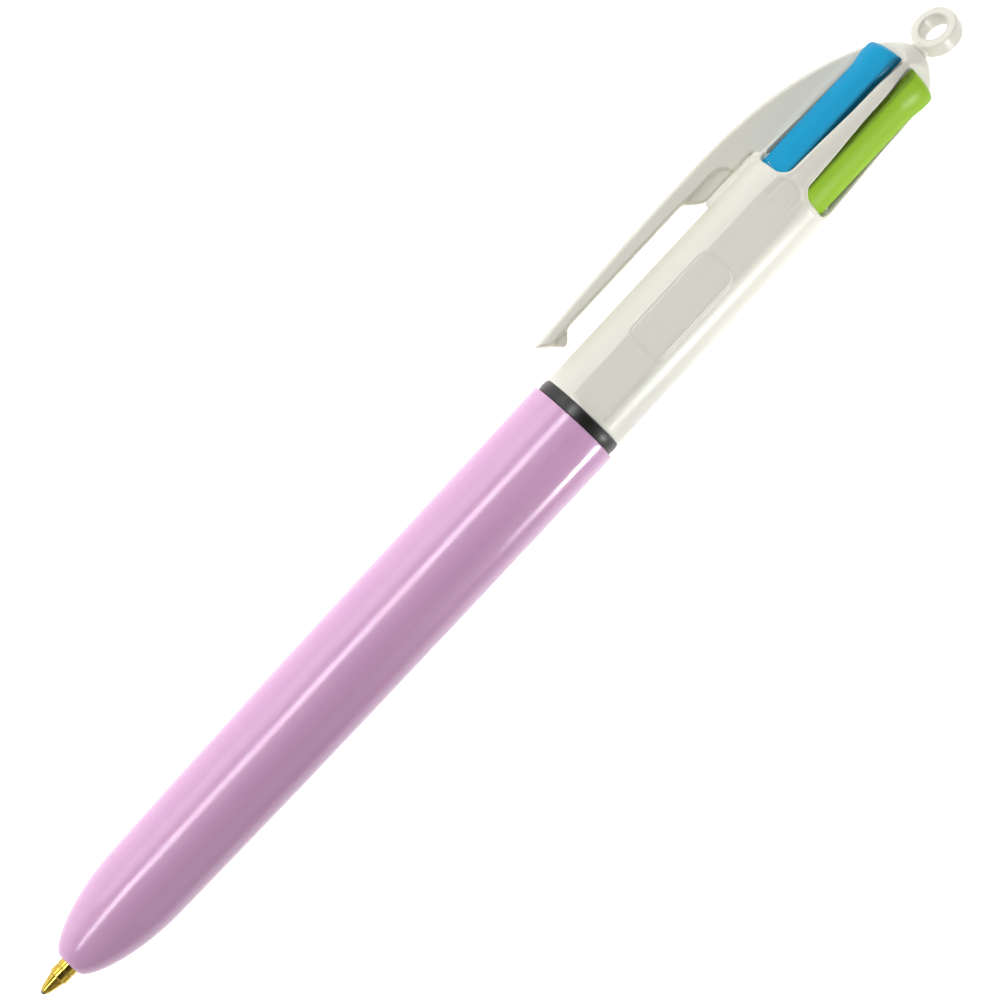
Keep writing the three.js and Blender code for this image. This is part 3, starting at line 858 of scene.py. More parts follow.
@dataclass
class UpperBody:
    """The ivory upper half: a tube with two flats, four slots with raised lips, and a spigot.

    Heights and radii are from the pen's axis. The taper is a list of (x, radius).
    """

    start: float = 89.85
    spigot_x: float = 82.0
    spigot_r: float = 4.7
    ledge_r: float = 3.95
    cavity_r: float = 4.25
    channel_r: float = 4.75
    flat_height: float = 4.85
    flat_centre: float = 121.85
    flat_ends: tuple = (3.0, 3.2)
    flat_join: float = 0.035
    fillet: float = 0.16
    edge: float = 0.14
    floor: float = 3.2
    taper: tuple = (
        (80, 5.42), (121, 5.42), (124.9, 5.33), (130.5, 5.1),
        (135, 4.82), (139.6, 4.68), (143, 4.28), (147, 3.8),
    )
    lip: float = 0.11
    lip_away: float = 0.3
    lip_width: float = 0.22
    lip_fade: tuple = (126, 133)
    channel_half: tuple = (0.53, 0.57)
    channel_start: tuple = (100.4, 101.4)
    groove: float = 0.1
    bore_start: float = 90.3
    bore_end: float = 124.2
    foot_stations: tuple = (122.4, 142.9)
    block_stations: tuple = (121.4, 125.6)
    slots: Slots = field(default_factory=Slots)
    end_steps: int = 16
    side_steps: int = 56
    ridge_steps: int = 22

    def round_radius(self, x: np.ndarray) -> np.ndarray:
        """The taper before the flats: straight stretches, smoothed over two millimetres."""
        return smoothed(x, self.taper, (78, 150, 0.1), 21)

    def radius(self, x: np.ndarray, angle: np.ndarray) -> np.ndarray:
        """Outer radius at a station and an angle.

        The flats pull the round radius down to height / cos(angle from the flat's middle),
        joined by a soft minimum -k ln(exp(-a/k) + exp(-b/k)), inside an arch with an elliptic
        end. A low lip stands round the lower end of each slot.

        Args:
            x: stations along the pen.
            angle: angles from the clip, in radians.

        Returns:
            The radius at each point.
        """
        base = self.round_radius(x)
        folded = np.abs((angle % math.pi) - QUARTER)
        plane = self.flat_height / np.maximum(np.cos(folded), 0.5)
        k = self.flat_join
        cut = -k * np.logaddexp(-base / k, -plane / k)
        along = np.maximum(x - self.flat_centre, 0) / self.flat_ends[0]
        across = base * np.sin(folded) / self.flat_ends[1]
        inside = 1 - smooth(0.86, 1.06, np.hypot(along, across * (along > 0)))
        inside = inside * smooth(self.start - 0.6, self.start + 1.1, x)
        level = base + (cut - base) * inside
        turn = (angle % QUARTER) - math.pi / 4
        away = self.slots.distance(x, level * np.sin(turn))
        bell = np.exp(-(((away - self.lip_away) / self.lip_width) ** 2))
        return level + self.lip * bell * (1 - smooth(*self.lip_fade, x))

    def inner_radius(self, x: np.ndarray, angle: np.ndarray) -> np.ndarray:
        """Bore: the spring chamber, widened into four channels where the slider stems run."""
        turn = np.abs((angle % QUARTER) - math.pi / 4)
        channel = (1 - smooth(*self.channel_half, turn)) * smooth(*self.channel_start, x)
        return self.cavity_r + (self.channel_r - self.cavity_r) * channel

    def solved_angle(self, x: np.ndarray, t: np.ndarray, centre: float) -> np.ndarray:
        """The angle at which the skin lies a given way across from a slot's middle."""
        angle = centre + np.arcsin(np.clip(t / self.round_radius(x), -1, 1))
        for _ in range(4):
            angle = centre + np.arcsin(np.clip(t / self.radius(x, angle), -1, 1))
        return angle

    def columns(self) -> tuple[np.ndarray, np.ndarray, np.ndarray]:
        """The tube's columns, slot and ridge by turns.

        Returns:
            The angle of each column, the station of the skin's upper edge there, and for each
            column the station and angle (two rows) where the bore's surface starts.
        """
        plan = self.slots.edge(self.fillet, self.side_steps, self.end_steps)
        wall = self.slots.edge(0.0, self.side_steps, self.end_steps)
        cut = self.side_steps - 1
        plan, wall = plan[cut:-cut], wall[cut:-cut]
        angles, tops, starts = [], [], []
        for degrees in self.slots.angles:
            centre = math.radians(degrees)
            angle = self.solved_angle(plan[:, 0], plan[:, 1], centre)
            low = self.roof(wall[:, 1])
            inner = centre + np.arctan2(wall[:, 1], low)
            reach = np.hypot(wall[:, 1], low)
            following = centre + QUARTER
            first, last = angle[-1], following + (angle[0] - centre)
            share = np.linspace(0, 1, self.ridge_steps)[1:-1]
            ridge = first + (last - first) * share
            next_inner = following + inner[0] - centre
            ends = np.array([
                [reach[-1] * math.cos(inner[-1]), reach[-1] * math.sin(inner[-1])],
                [reach[0] * math.cos(next_inner), reach[0] * math.sin(next_inner)],
            ])
            line = ends[0] + (ends[1] - ends[0]) * share[:, None]
            under = [np.unwrap(np.arctan2(line[:, 1], line[:, 0])), np.hypot(*line.T)]
            angles += [angle, ridge]
            tops += [plan[:, 0], np.full(len(share), plan[-1, 0])]
            starts += [
                np.stack([wall[:, 0], inner, reach], 1),
                np.stack([np.full(len(share), wall[-1, 0]), *under], 1),
            ]
        return np.concatenate(angles), np.concatenate(tops), np.concatenate(starts)

    def roof(self, t: np.ndarray) -> np.ndarray:
        """Height of the stem channel's roof a given way across."""
        return np.sqrt(self.channel_r**2 - t**2)

    def tube(self) -> np.ndarray:
        """The tube below the slots: skin, lower edge, spigot, bore and channels in one grid.

        Each column runs down the skin at its own angle and back up the bore. Rows crowd near
        the slots' edges, where the lips stand.

        Returns:
            The grid, its first row on the skin's edge and its last on the bore's.
        """
        angle, top, start = self.columns()
        near = np.array([0, 0.05, 0.1, 0.16, 0.24, 0.33, 0.43, 0.54, 0.66, 0.8, 0.95, 1.15, 1.4, 1.7])
        share = np.linspace(0, 1, 74)[1:]
        edge = self.start + self.edge
        far = (top - near[-1])[None] + (edge - (top - near[-1]))[None] * share[:, None]
        x = np.concatenate([top[None] - near[:, None], far])
        theta = np.broadcast_to(angle, x.shape)
        r = self.radius(x, theta)
        foot = self.radius(np.full_like(top, edge), angle)
        end, full, deep = self.spigot_x, self.spigot_r, self.spigot_r - self.groove
        lower = [(self.start + 0.04, foot - 0.03), (self.start, foot - 0.13), (self.start, full)]
        turned = [
            (83.4, full), (83.2, deep), (82.9, deep), (82.7, full),
            (end + 0.2, full), (end, full - 0.2), (end, self.ledge_r + 0.1), (end + 0.1, self.ledge_r),
            (90.0, self.ledge_r), (90.0, self.cavity_r),
        ]
        rows = [(np.full_like(top, a), np.broadcast_to(b, top.shape)) for a, b in lower + turned]
        x = np.concatenate([x, np.stack([a for a, _ in rows])])
        r = np.concatenate([r, np.stack([b for _, b in rows])])
        theta = np.broadcast_to(angle, x.shape)
        low, high = self.bore_start, self.bore_end
        up = np.concatenate([np.linspace(low, 121.0, 26), np.linspace(121.4, high, 9)])
        share = np.concatenate([(up - low) / (high - low), [1.0]])[:, None]
        inner_x = low + (start[:, 0] - low)[None] * share
        settle = smooth(0.82, 1.0, share)
        inner_theta = angle[None] + (start[:, 1] - angle)[None] * settle
        bore = self.inner_radius(inner_x, inner_theta)
        inner_r = bore + (start[:, 2][None] - bore) * settle
        x, theta, r = (np.concatenate(pair) for pair in ((x, inner_x), (theta, inner_theta), (r, inner_r)))
        return np.stack([x, r * np.cos(theta), r * np.sin(theta)], -1)

    def wall(self, degrees: float) -> np.ndarray:
        """One slot's wall: a rounded edge, then straight down beside the slider.

        The edge turns by a quarter circle: offset f (1 - sin a) and depth f (1 - cos a). The
        wall ends at the slot's floor beside the slider, and at the channel's roof below it.

        Args:
            degrees: the slot's angle round the pen.

        Returns:
            The grid, from the skin's edge to the wall's foot, in the slot's own axes.
        """
        outer = self.slots.edge(self.fillet, self.side_steps, self.end_steps)
        foot = self.slots.edge(0.0, self.side_steps, self.end_steps)
        angle = self.solved_angle(outer[:, 0], outer[:, 1], math.radians(degrees))
        height = self.radius(outer[:, 0], angle) * np.cos(angle - math.radians(degrees))
        a = np.linspace(0, QUARTER, 7)
        inwards, depth = np.sin(a)[:, None], self.fillet * (1 - np.cos(a))[:, None]
        plan = outer[None] + (foot - outer)[None] * inwards[..., None]
        rows = [np.stack([plan[..., 0], height[None] - depth, plan[..., 1]], -1)]
        corner = self.slots.start + self.slots.corner
        settled = smooth(corner, corner + 1.2, foot[:, 0])
        low = self.roof(foot[:, 1]) * (1 - settled) + self.floor * settled
        for share in (0.35, 0.7, 1.0):
            level = (height - self.fillet) * (1 - share) + low * share
            rows.append(np.stack([foot[:, 0], level, foot[:, 1]], 1)[None])
        return np.concatenate(rows)

    def prong(self, degrees: float) -> tuple[np.ndarray, np.ndarray, np.ndarray]:
        """The ridge between two slots: its skin, its inner face and its top end.

        Args:
            degrees: the angle of the slot before the ridge.

        Returns:
            Three grids that share their borders with the walls on either side.
        """
        before = around(self.wall(degrees)[:, -self.side_steps:], degrees)
        after = around(self.wall(degrees + 90)[:, :self.side_steps][:, ::-1], degrees + 90)
        share = np.linspace(0, 1, self.ridge_steps)
        x = before[0, :, 0]
        edge = [np.unwrap(np.arctan2(side[0, :, 2], side[0, :, 1])) for side in (before, after)]
        edge[1] = edge[0] + (edge[1] - edge[0]) % TURN
        angle = edge[0][:, None] + (edge[1] - edge[0])[:, None] * share
        r = self.radius(x[:, None], angle)
        skin = np.stack(np.broadcast_arrays(x[:, None], r * np.cos(angle), r * np.sin(angle)), -1)
        inner = before[-1][:, None] + (after[-1] - before[-1])[:, None] * share[:, None]
        left, right = before[:, -1], after[:, -1]
        cap = left[:, None] + (right - left)[:, None] * share[:, None]
        fade = np.linspace(1, 0, len(cap))[:, None, None]
        cap = cap + fade * (skin[-1] - cap[0])[None]
        cap[-1] = inner[-1]
        return skin, inner, cap

    def foot(self, degrees: float) -> np.ndarray:
        """The guide rib under a ridge, on which two sliders run.

        Args:
            degrees: the ridge's angle.

        Returns:
            The grid of closed sections.
        """
        r, lean = 3.35, math.radians(27)
        arc = np.linspace(-lean, lean, 9)
        base = np.stack([r * np.cos(arc), r * np.sin(arc)], 1)
        sides = [[2.963, 1.563], [4.28, 0.36], [4.28, -0.36], [2.963, -1.563]]
        return around(carried(np.concatenate([base, sides]), self.foot_stations), degrees)

    def block(self, degrees: float) -> np.ndarray:
        """The wall between two stem channels just below the slots, as closed sections."""
        half = [[3.5, 0.3], [3.889, 0.636], [4.56, 1.308], [4.95, 1.15]]
        corners = np.array(half + [[r, -t] for r, t in half[::-1]])
        return around(carried(corners, self.block_stations), degrees)

    def painted_shade(self, points: np.ndarray) -> np.ndarray:
        """Painted shade inside a slot, by how far points lie under the skin: 0 at the skin, 1 at 1.1 mm."""
        x, y, z = points.T
        below = self.radius(x, np.arctan2(z, y)) - np.hypot(y, z)
        return smooth(0.2, 1.1, below) * (x > self.start + 20)

    def build(self) -> bpy.types.Object:
        """Joins tube, slot walls, ridges, guide ribs and channel walls into one piece."""
        shell = Shell().add(self.tube(), round_columns=True)
        for degrees in self.slots.angles:
            shell.add(around(self.wall(degrees), degrees))
            for grid in self.prong(degrees):
                shell.add(grid)
            shell.bar(self.foot(degrees + 45)).bar(self.block(degrees + 45))
        return shell.make("upper_casing", painted_shade=self.painted_shade)

    def dress(self, piece: bpy.types.Object, shop: Workshop) -> None:
        """Ivory, on the pen's body."""
        shop.dress(piece, IVORY, "ivory_casing", "body", "upper_body")


@dataclass
class Plaque:
    """A plain raised outline on the flat that faces up: a rounded frame, with nothing in it."""

    start: float = 99.5
    end: float = 112.6
    low: float = -2.35
    high: float = 2.2
    corner: float = 1.5
    width: float = 0.24
    height: float = 0.1
    sunk: float = 0.012
    foot: float = 0.06

    def build(self, body: UpperBody) -> bpy.types.Object:
        """Carries a low bump round a rounded rectangle that lies on the body's skin.

        The bump stands h (1 + cos(pi w / W)) / 2 above the skin, w being the way across it.

        Args:
            body: the body that it lies on.

        Returns:
            The new piece.
        """
        corners = [
            [self.start, self.low], [self.end, self.low],
            [self.end, self.high], [self.start, self.high],
        ]
        path = looped(corners, self.corner, 14)
        step = np.roll(path, -1, 0) - np.roll(path, 1, 0)
        out = np.stack([step[:, 1], -step[:, 0]], 1) / np.linalg.norm(step, axis=1)[:, None]
        w = np.linspace(-1, 1, 13)
        plan = path[:, None] + out[:, None] * (w * self.width)[:, None]
        up = self.height * (1 + np.cos(math.pi * w)) / 2 - self.sunk
        angle = QUARTER + np.arcsin(plan[..., 1] / body.flat_height)
        top = self.lifted(body, plan[..., 0], angle, up[None])
        under = self.lifted(body, plan[..., 0], angle, np.full_like(up, -self.foot)[None])
        grid = np.concatenate([top, under[:, ::-1]], 1)
        return Shell().add(grid, True, True).make("plaque_outline", 60.0)

    def lifted(self, body: UpperBody, x: np.ndarray, angle: np.ndarray, up: np.ndarray) -> np.ndarray:
        """Points a given height above the body's skin."""
        r = body.radius(x, angle) + up
        return np.stack([x, r * np.cos(angle), r * np.sin(angle)], -1)

    def dress(self, piece: bpy.types.Object, shop: Workshop) -> None:
        """Ivory like the body that it is moulded with."""
        shop.dress(piece, IVORY, "ivory_casing", "body")


# --- Clip ---------------------------------------------------------------------------------------


@dataclass
class Clip:
    """The clip, from its free end through its thin web to the fin that runs up to the crown.

    Rise, fall and arch hold the ends and pulls of curves in the side view, as (x, y).
    """

    end_x: float = 91.57
    last_x: float = 143.05
    half: float = 2.1
    fin_half: float = 1.15
    tip_half: float = 0.72
    inner: float = 7.77
    slit: float = 6.05
    web_half: float = 0.95
    edge: float = 0.42
    corner: float = 0.7
    crown: float = 0.07
    rise: tuple = ((91.57, 8.93), (105, 9.72), (118, 9.72))
    fall: tuple = ((118, 9.72), (126.5, 9.76), (135, 8.8), (143.2, 4.4))
    arch: tuple = ((119.2, 7.72), (122.1, 7.55), (121.3, 5.0))
    hinge_y: float = 7.8
    bend: tuple = (127.6, 121.8)

    def top(self, x: np.ndarray) -> np.ndarray:
        """Outer line: a quadratic curve to the crest, then a cubic one down to the crown."""
        s = np.linspace(0, 1, 60)[:, None]
        weights = np.concatenate([(1 - s) ** 3, 3 * s * (1 - s) ** 2, 3 * s**2 * (1 - s), s**3], 1)
        line = np.concatenate([curve(*np.array(self.rise), s), (weights @ np.array(self.fall))[1:]])
        return np.interp(x, line[:, 0], line[:, 1])

    def bottom(self, x: np.ndarray) -> np.ndarray:
        """Inner line: a slanted end with a rounded bump, the flat face, the web's foot, the slit."""
        corners = [
            self.rise[0], [93.35, 7.25], [93.98, 6.45], [94.6, 6.75], [95.7, self.inner],
            [114.9, self.inner], [115.7, 6.9], [116.79, self.slit], [124.75, self.slit],
            [125.3, 4.75], [143.3, 4.1],
        ]
        line = eased(corners, 0.55, 10)
        return np.interp(x, line[:, 0], line[:, 1])

    def half_width(self, x: np.ndarray) -> np.ndarray:
        """Half width in plan: even along the arm, then narrowing, with rounded free corners."""
        knots = ((85, self.half), (112, self.half), (125.6, self.fin_half), (146, self.tip_half))
        width = smoothed(x, knots, (85, 150, 0.1), 31)
        back = np.clip((self.end_x + self.corner - x) / self.corner, 0, 1)
        return width - self.corner * (1 - np.sqrt(1 - back**2))

    def recess(self, x: np.ndarray, y: np.ndarray) -> np.ndarray:
        """Share by which the root is thinned to the web: full below an arched line."""
        arch = curve(*np.array(self.arch), np.linspace(0, 1, 30)[:, None])
        line = np.concatenate([[[100, self.arch[0][1]]], arch[:-4]])
        limit = np.interp(x, line[:, 0], line[:, 1], right=0.0)
        wall = smooth(-0.12, 0.12, 121.75 - x - 0.25 * np.abs(y - 6.6))
        return smooth(-0.2, 0.2, limit - y) * wall

    def build(self) -> bpy.types.Object:
        """Two mirrored skins z = half width less the recess, rounded along the side view's outline.

        Across a section, z falls by e - sqrt(e^2 - (e - d)^2) at a distance d less than e from
        the outline, and the top is slightly crowned.

        Returns:
            The new piece.
        """
        x = np.concatenate([
            self.end_x + 0.5 * np.linspace(0, 1, 10) ** 2, np.linspace(92.15, 96.4, 34),
            np.linspace(96.8, 113.6, 30), np.linspace(113.9, 127.4, 96),
            np.linspace(127.8, self.last_x, 40),
        ])[:, None]
        low, high = self.bottom(x), self.top(x)
        high = np.maximum(high, low + 0.05)
        v = (1 - np.cos(np.linspace(0, math.pi, 44))) / 2
        y = low + (high - low) * v
        edge = np.minimum(self.edge, 0.45 * (high - low))
        gap = np.minimum(np.minimum(y - low, high - y), edge)
        fall = edge - np.sqrt(np.maximum(edge**2 - (edge - gap) ** 2, 0))
        wide = self.half_width(x)
        root = 0.03 * np.exp(-np.maximum(y - 5.2, 0) / 0.22) * smooth(126.2, 128.4, x)
        web = wide - (wide - self.web_half) * self.recess(x, y)
        z = web - np.minimum(fall, 0.7 * web) + root
        side = np.stack(np.broadcast_arrays(x, y, z), -1)
        s = np.linspace(1, -1, 13)[None, 1:-1]
        crest = high + self.crown * (1 - s**2) * smooth(91.5, 93, x)
        crown = np.stack(np.broadcast_arrays(x, crest, s * z[:, -1:]), -1)
        under = np.stack(np.broadcast_arrays(x, low, -s * z[:, :1]), -1)
        grid = np.concatenate([side, crown, (side * [1, 1, -1])[:, ::-1], under], 1)
        return Shell().bar(grid).make("clip_and_fin")

    def dress(self, piece: bpy.types.Object, shop: Workshop) -> None:
        """Ivory, with no body, its place baked into its mesh."""
        shop.dress(piece, IVORY, "ivory_casing", None, "clip_arm")
        start, end = (AXES.placed(np.array([x, self.hinge_y, 0])) for x in self.bend)
        tuple(start)
        tuple(end)
        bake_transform(piece)


@dataclass
class ClipPad:
    """The low rib on the body under the clip's root, with a flat top."""

    start: float = 116.79
    end: float = 125.8
    half: float = 1.15
    top: float = 5.98
    low: float = 4.9
    ease: float = 0.22

    def build(self) -> bpy.types.Object:
        """A closed section with eased upper edges and flared feet, carried along the pen."""
        ease = self.ease
        x = np.concatenate([self.start + ease * np.linspace(0, 1, 6), np.linspace(117.3, self.end, 20)])
        back = np.clip((self.start + ease - x) / ease, 0, 1)
        drop = (ease * (1 - np.sqrt(1 - back**2)))[:, None]
        a = np.linspace(0, QUARTER, 6)
        flare = [self.half + 0.28, self.half + 0.1, self.half]
        across = np.concatenate([flare, self.half - ease * (1 - np.cos(a)), [0.5]])
        foot = [self.low, 5.27, 5.42]
        height = np.concatenate([foot, self.top - ease * (1 - np.sin(a)), [self.top + 0.01]])
        both = np.concatenate([height, height[::-1]])
        h = both[None] - drop * (both > 5.3)
        t = np.concatenate([across, -across[::-1]])[None]
        return Shell().bar(np.stack(np.broadcast_arrays(x[:, None], h, t), -1)).make("clip_pad")

    def dress(self, piece: bpy.types.Object, shop: Workshop) -> None:
        """Ivory, on the body."""
        shop.dress(piece, IVORY, "ivory_casing", "body")


# --- Crown --------------------------------------------------------------------------------------


@dataclass
class Crown:
    """The cap at the top: a dome with four arched recesses, a short neck and the lanyard loop."""

    start: float = 142.98
    profile: tuple = (
        (142.5, 4.34), (143.25, 4.25), (143.65, 4.04), (144.37, 3.42), (145.05, 2.78), (145.6, 2.2),
        (145.86, 1.75), (145.98, 1.3), (146.1, 1.16), (146.5, 1.14), (147.2, 1.2),
    )
    recess: float = 3.0
    recess_end: float = 145.6
    steps: int = 288
    half: float = 2.62
    loop_x: float = 149.2
    loop_r: float = 2.27
    loop_wall: float = 1.2
    loop_width: float = 2.15
    loop_turn: float = 43.0

    def dome(self, x: np.ndarray) -> np.ndarray:
        """Radius of the dome and neck: the profile's points joined by a smoothed line."""
        return smoothed(x, self.profile, (141, 149, 0.02), 11)

    def cap(self) -> np.ndarray:
        """Dome and neck: radius less the part above each recess's flat floor, with soft rims.

        The floor lies at radius d / cos(angle from the slot's middle), and the cut is the soft
        positive part of dome - floor, (z + sqrt(z^2 + e^2)) / 2, between the slot's two walls.

        Returns:
            The grid.
        """
        x = np.concatenate([np.linspace(self.start, 145.4, 52), np.linspace(145.43, 146.9, 44)])[:, None]
        angle = (np.arange(self.steps) * TURN / self.steps)[None]
        dome = self.dome(x)
        turn = (angle % QUARTER) - math.pi / 4
        level = self.recess / np.cos(turn)
        z = dome - level
        cut = (z + np.sqrt(z**2 + 0.05**2)) / 2 - 0.006
        inside = 1 - smooth(self.half - 0.12, self.half + 0.06, np.abs(dome * np.sin(turn)))
        r = dome - np.maximum(cut, 0) * inside * (x < self.recess_end)
        return np.stack(np.broadcast_arrays(x, r * np.cos(angle), r * np.sin(angle)), -1)

    def loop(self) -> np.ndarray:
        """The loop: a rounded, slightly boxy section carried round a circle."""
        a = (np.arange(120) * TURN / 120)[:, None]
        b = (np.arange(48) * TURN / 48 + 0.03)[None]
        out = self.loop_r + self.loop_wall / 2 * boxy(np.cos(b), 0.3)
        along = self.loop_width / 2 * boxy(np.sin(b), 0.28)
        x, y, z = np.broadcast_arrays(out * np.cos(a), out * np.sin(a), along)
        c, s = math.cos(math.radians(self.loop_turn)), math.sin(math.radians(self.loop_turn))
        return np.stack([x + self.loop_x, y * c + z * s, z * c - y * s], -1)

    def painted_shade(self, points: np.ndarray) -> np.ndarray:
        """Painted shade in the loop's hole: part way inside the ring, and on the neck's foot."""
        x, y, z = points.T
        turn = math.radians(self.loop_turn)
        out = np.hypot(x - self.loop_x, y * math.cos(turn) - z * math.sin(turn))
        hole = smooth(0.3, 0.42, self.loop_r - out) * (x > 146.5)
        return 0.4 * np.maximum(hole, 0.6 * smooth(145.85, 146.0, x) * smooth(-146.45, -146.25, -x))

    def build(self) -> bpy.types.Object:
        """Joins cap and loop, and closes both ends of the cap."""
        shell = Shell().bar(self.cap()).add(self.loop(), True, True)
        return shell.make("crown_and_loop", painted_shade=self.painted_shade)

    def dress(self, piece: bpy.types.Object, shop: Workshop) -> None:
        """Ivory, on the body."""
        shop.dress(piece, IVORY, "ivory_casing", "body", "crown_cap")


# --- Sliders, springs and refills ---------------------------------------------------------------


@dataclass
class Slider:
    """One coloured slider, worked out with its refill drawn back: stem, flared head, fin and stub."""

    colour: Colour
    start: float = 112.0
    stem_end: float = 138.9
    head_full: float = 141.8
    end: float = 143.38
    floor: float = 3.45
    stem_top: float = 4.66
    head_top: float = 4.95
    stem_half: float = 2.2
    head_half: float = 2.42
    ease: float = 0.2
    crown: float = 0.9
    fall_length: float = 1.05
    fall: float = 0.85
    tuck_length: float = 0.3
    tuck: float = 0.16
    fin_stations: tuple = (108.3, 130.0)
    stub_height: float = 2.7

    def half(self, x: np.ndarray) -> np.ndarray:
        """Half width of the blade: a smoothstep from the stem's to the head's."""
        flare = smooth(self.stem_end, self.head_full, x)
        return self.stem_half + (self.head_half - self.stem_half) * flare

    def top(self, x: np.ndarray) -> np.ndarray:
        """Height of the blade's middle line, less the fall at the head's end."""
        rise = smooth(self.stem_end + 0.3, self.head_full + 0.2, x)
        back = np.clip((x - (self.end - self.fall_length)) / self.fall_length, 0, 1)
        level = self.stem_top + (self.head_top - self.stem_top) * rise
        return level - self.fall * (1 - np.sqrt(1 - back**2 * 0.995))

    def crowned(self, top: np.ndarray, t: np.ndarray) -> np.ndarray:
        """Height of the crowned top a given way across: a flattened circle about the axis."""
        return np.sqrt(top**2 - (self.crown * t) ** 2)

    def blade(self) -> np.ndarray:
        """Stem and head: a section with a crowned top and eased edges, carried along the pen.

        Half width and height grow by smoothsteps into the head, and the head's end falls away
        by a quarter ellipse. The top follows a circle about the pen's axis.

        Returns:
            The grid of sections.
        """
        head = np.sin(np.linspace(0, QUARTER, 20))[1:]
        x = np.concatenate([
            self.start + 0.4 * np.linspace(0, 1, 5), np.linspace(112.8, self.stem_end - 0.6, 40),
            np.linspace(self.stem_end - 0.4, self.head_full, 22),
            self.head_full + (self.end - self.head_full) * head,
        ])
        back = np.clip((x - self.end + self.tuck_length) / self.tuck_length, 0, 1)
        half = self.half(x) - self.tuck * (1 - np.sqrt(1 - back**2 * 0.99))
        a = np.linspace(0, QUARTER, 7)[None]
        half, top = half[:, None], self.top(x)[:, None]
        edge_t = half - self.ease * (1 - np.cos(a))
        flat_t = (half - self.ease) * np.linspace(1, -1, 15)[None, 1:-1]
        rim = self.crowned(top, half - self.ease)
        edge_h = rim - self.ease * (1 - np.sin(a))
        rise = self.floor + (edge_h[:, :1] - self.floor) * np.linspace(0, 1, 5)[None, :-1]
        side = np.broadcast_to(half, rise.shape)
        t = np.concatenate([side, edge_t, flat_t, -edge_t[:, ::-1], -side], 1)
        flat_h = self.crowned(top, flat_t)
        h = np.concatenate([rise, edge_h, flat_h, edge_h[:, ::-1], rise[:, ::-1]], 1)
        return np.stack(np.broadcast_arrays(x[:, None], h, t), -1)

    def painted_shade(self, points: np.ndarray) -> np.ndarray:
        """Painted shade down the blade's sides, and a painted shaded band along the side of each blade that
        faces the ridge at 90 or 270 degrees.
        """
        x, h, t = around(points, -self.colour.angle).T
        x = x + self.colour.sunk
        half = self.half(x)
        rim = self.crowned(self.top(x), half)
        side = smooth(0.05, 0.25, rim - h) * smooth(-0.12, -0.02, np.abs(t) - half)
        upper = t if self.colour.angle % 180 == 45 else -t
        return np.maximum(side, 0.75 * smooth(-0.32, -0.06, upper - half))

    def build(self) -> bpy.types.Object:
        """Joins blade, fin, shoulder and stub, pressed down if this is the pressed one."""
        down = np.array([-self.colour.sunk, 0, 0])
        shell = Shell()
        blade = self.blade()
        middle = blade[-1].mean(0)
        shrink = middle + (blade[-1] - middle) * [1, 0.9, 0.9] + [0.02, 0, 0]
        blade = np.concatenate([blade, shrink[None]])
        section = looped([[1.75, -0.7], [3.7, -0.7], [3.7, 0.7], [1.75, 0.7]], 0.15)
        fin = carried(section, self.fin_stations)
        peg = [[103, 0], [103, 0.6], [107.5, 0.6], [107.5, 1.45], [108.5, 1.45], [108.5, 0]]
        stub = lathe(eased(peg, 0.12), 32) + [0, self.stub_height, 0]
        for grid in (blade, fin):
            shell.bar(around(grid + down, self.colour.angle))
        shell.add(around(stub + down, self.colour.angle), round_columns=True)
        return shell.make(f"{self.colour.key}_slider_body", painted_shade=self.painted_shade)

    def dress(self, piece: bpy.types.Object, shop: Workshop) -> None:
        """The slider's own colour, on its own body."""
        key = self.colour.key
        shop.dress(piece, self.colour.plastic(), f"{key}_slider", f"slider_{key}", f"slider_{key}")


@dataclass
class ReturnSpring:
    """One return spring, from the seat up to its slider's shoulder."""

    colour: Colour
    seat: float = 92.38
    shoulder: float = 107.12
    coil_r: float = 1.42
    wire_r: float = 0.13
    offset: float = 2.65
    turns: int = 9

    @property
    def ends(self) -> tuple[float, float]:
        """Where the spring starts and ends along the pen."""
        return self.seat, self.shoulder - self.colour.sunk

    def build(self) -> bpy.types.Object:
        """Carries a circle of wire along a helix whose first and last turns lie close.

        Along the spring, a share s of the turns stands at a - b sin(2 pi s) / 2 pi of its
        length, which slows the climb near both ends.

        Returns:
            The new piece.
        """
        seat, top = self.ends
        s = np.linspace(0, 1, self.turns * 22 + 1)[:, None]
        climb = s - 0.85 * np.sin(TURN * s) / TURN
        a = TURN * self.turns * s
        b = (np.arange(8) * TURN / 8)[None]
        r = self.coil_r + self.wire_r * np.cos(b)
        x = seat + (top - seat) * climb + self.wire_r * np.sin(b)
        grid = np.stack(np.broadcast_arrays(x, self.offset + r * np.cos(a), r * np.sin(a)), -1)
        grid = around(grid, self.colour.angle)
        return Shell().bar(grid).make(f"{self.colour.key}_return_spring")

    def dress(self, piece: bpy.types.Object, shop: Workshop) -> None:
        """Steel wire, with no body, its place baked into its mesh."""
        key = self.colour.key
        shop.dress(piece, STEEL, "spring_steel", None, f"spring_{key}")
        points = (around(np.array([x, self.offset, 0.0]), self.colour.angle) for x in self.ends)
        start, end = (AXES.placed(point) for point in points)
        tuple(start)
        tuple(end)
        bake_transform(piece)


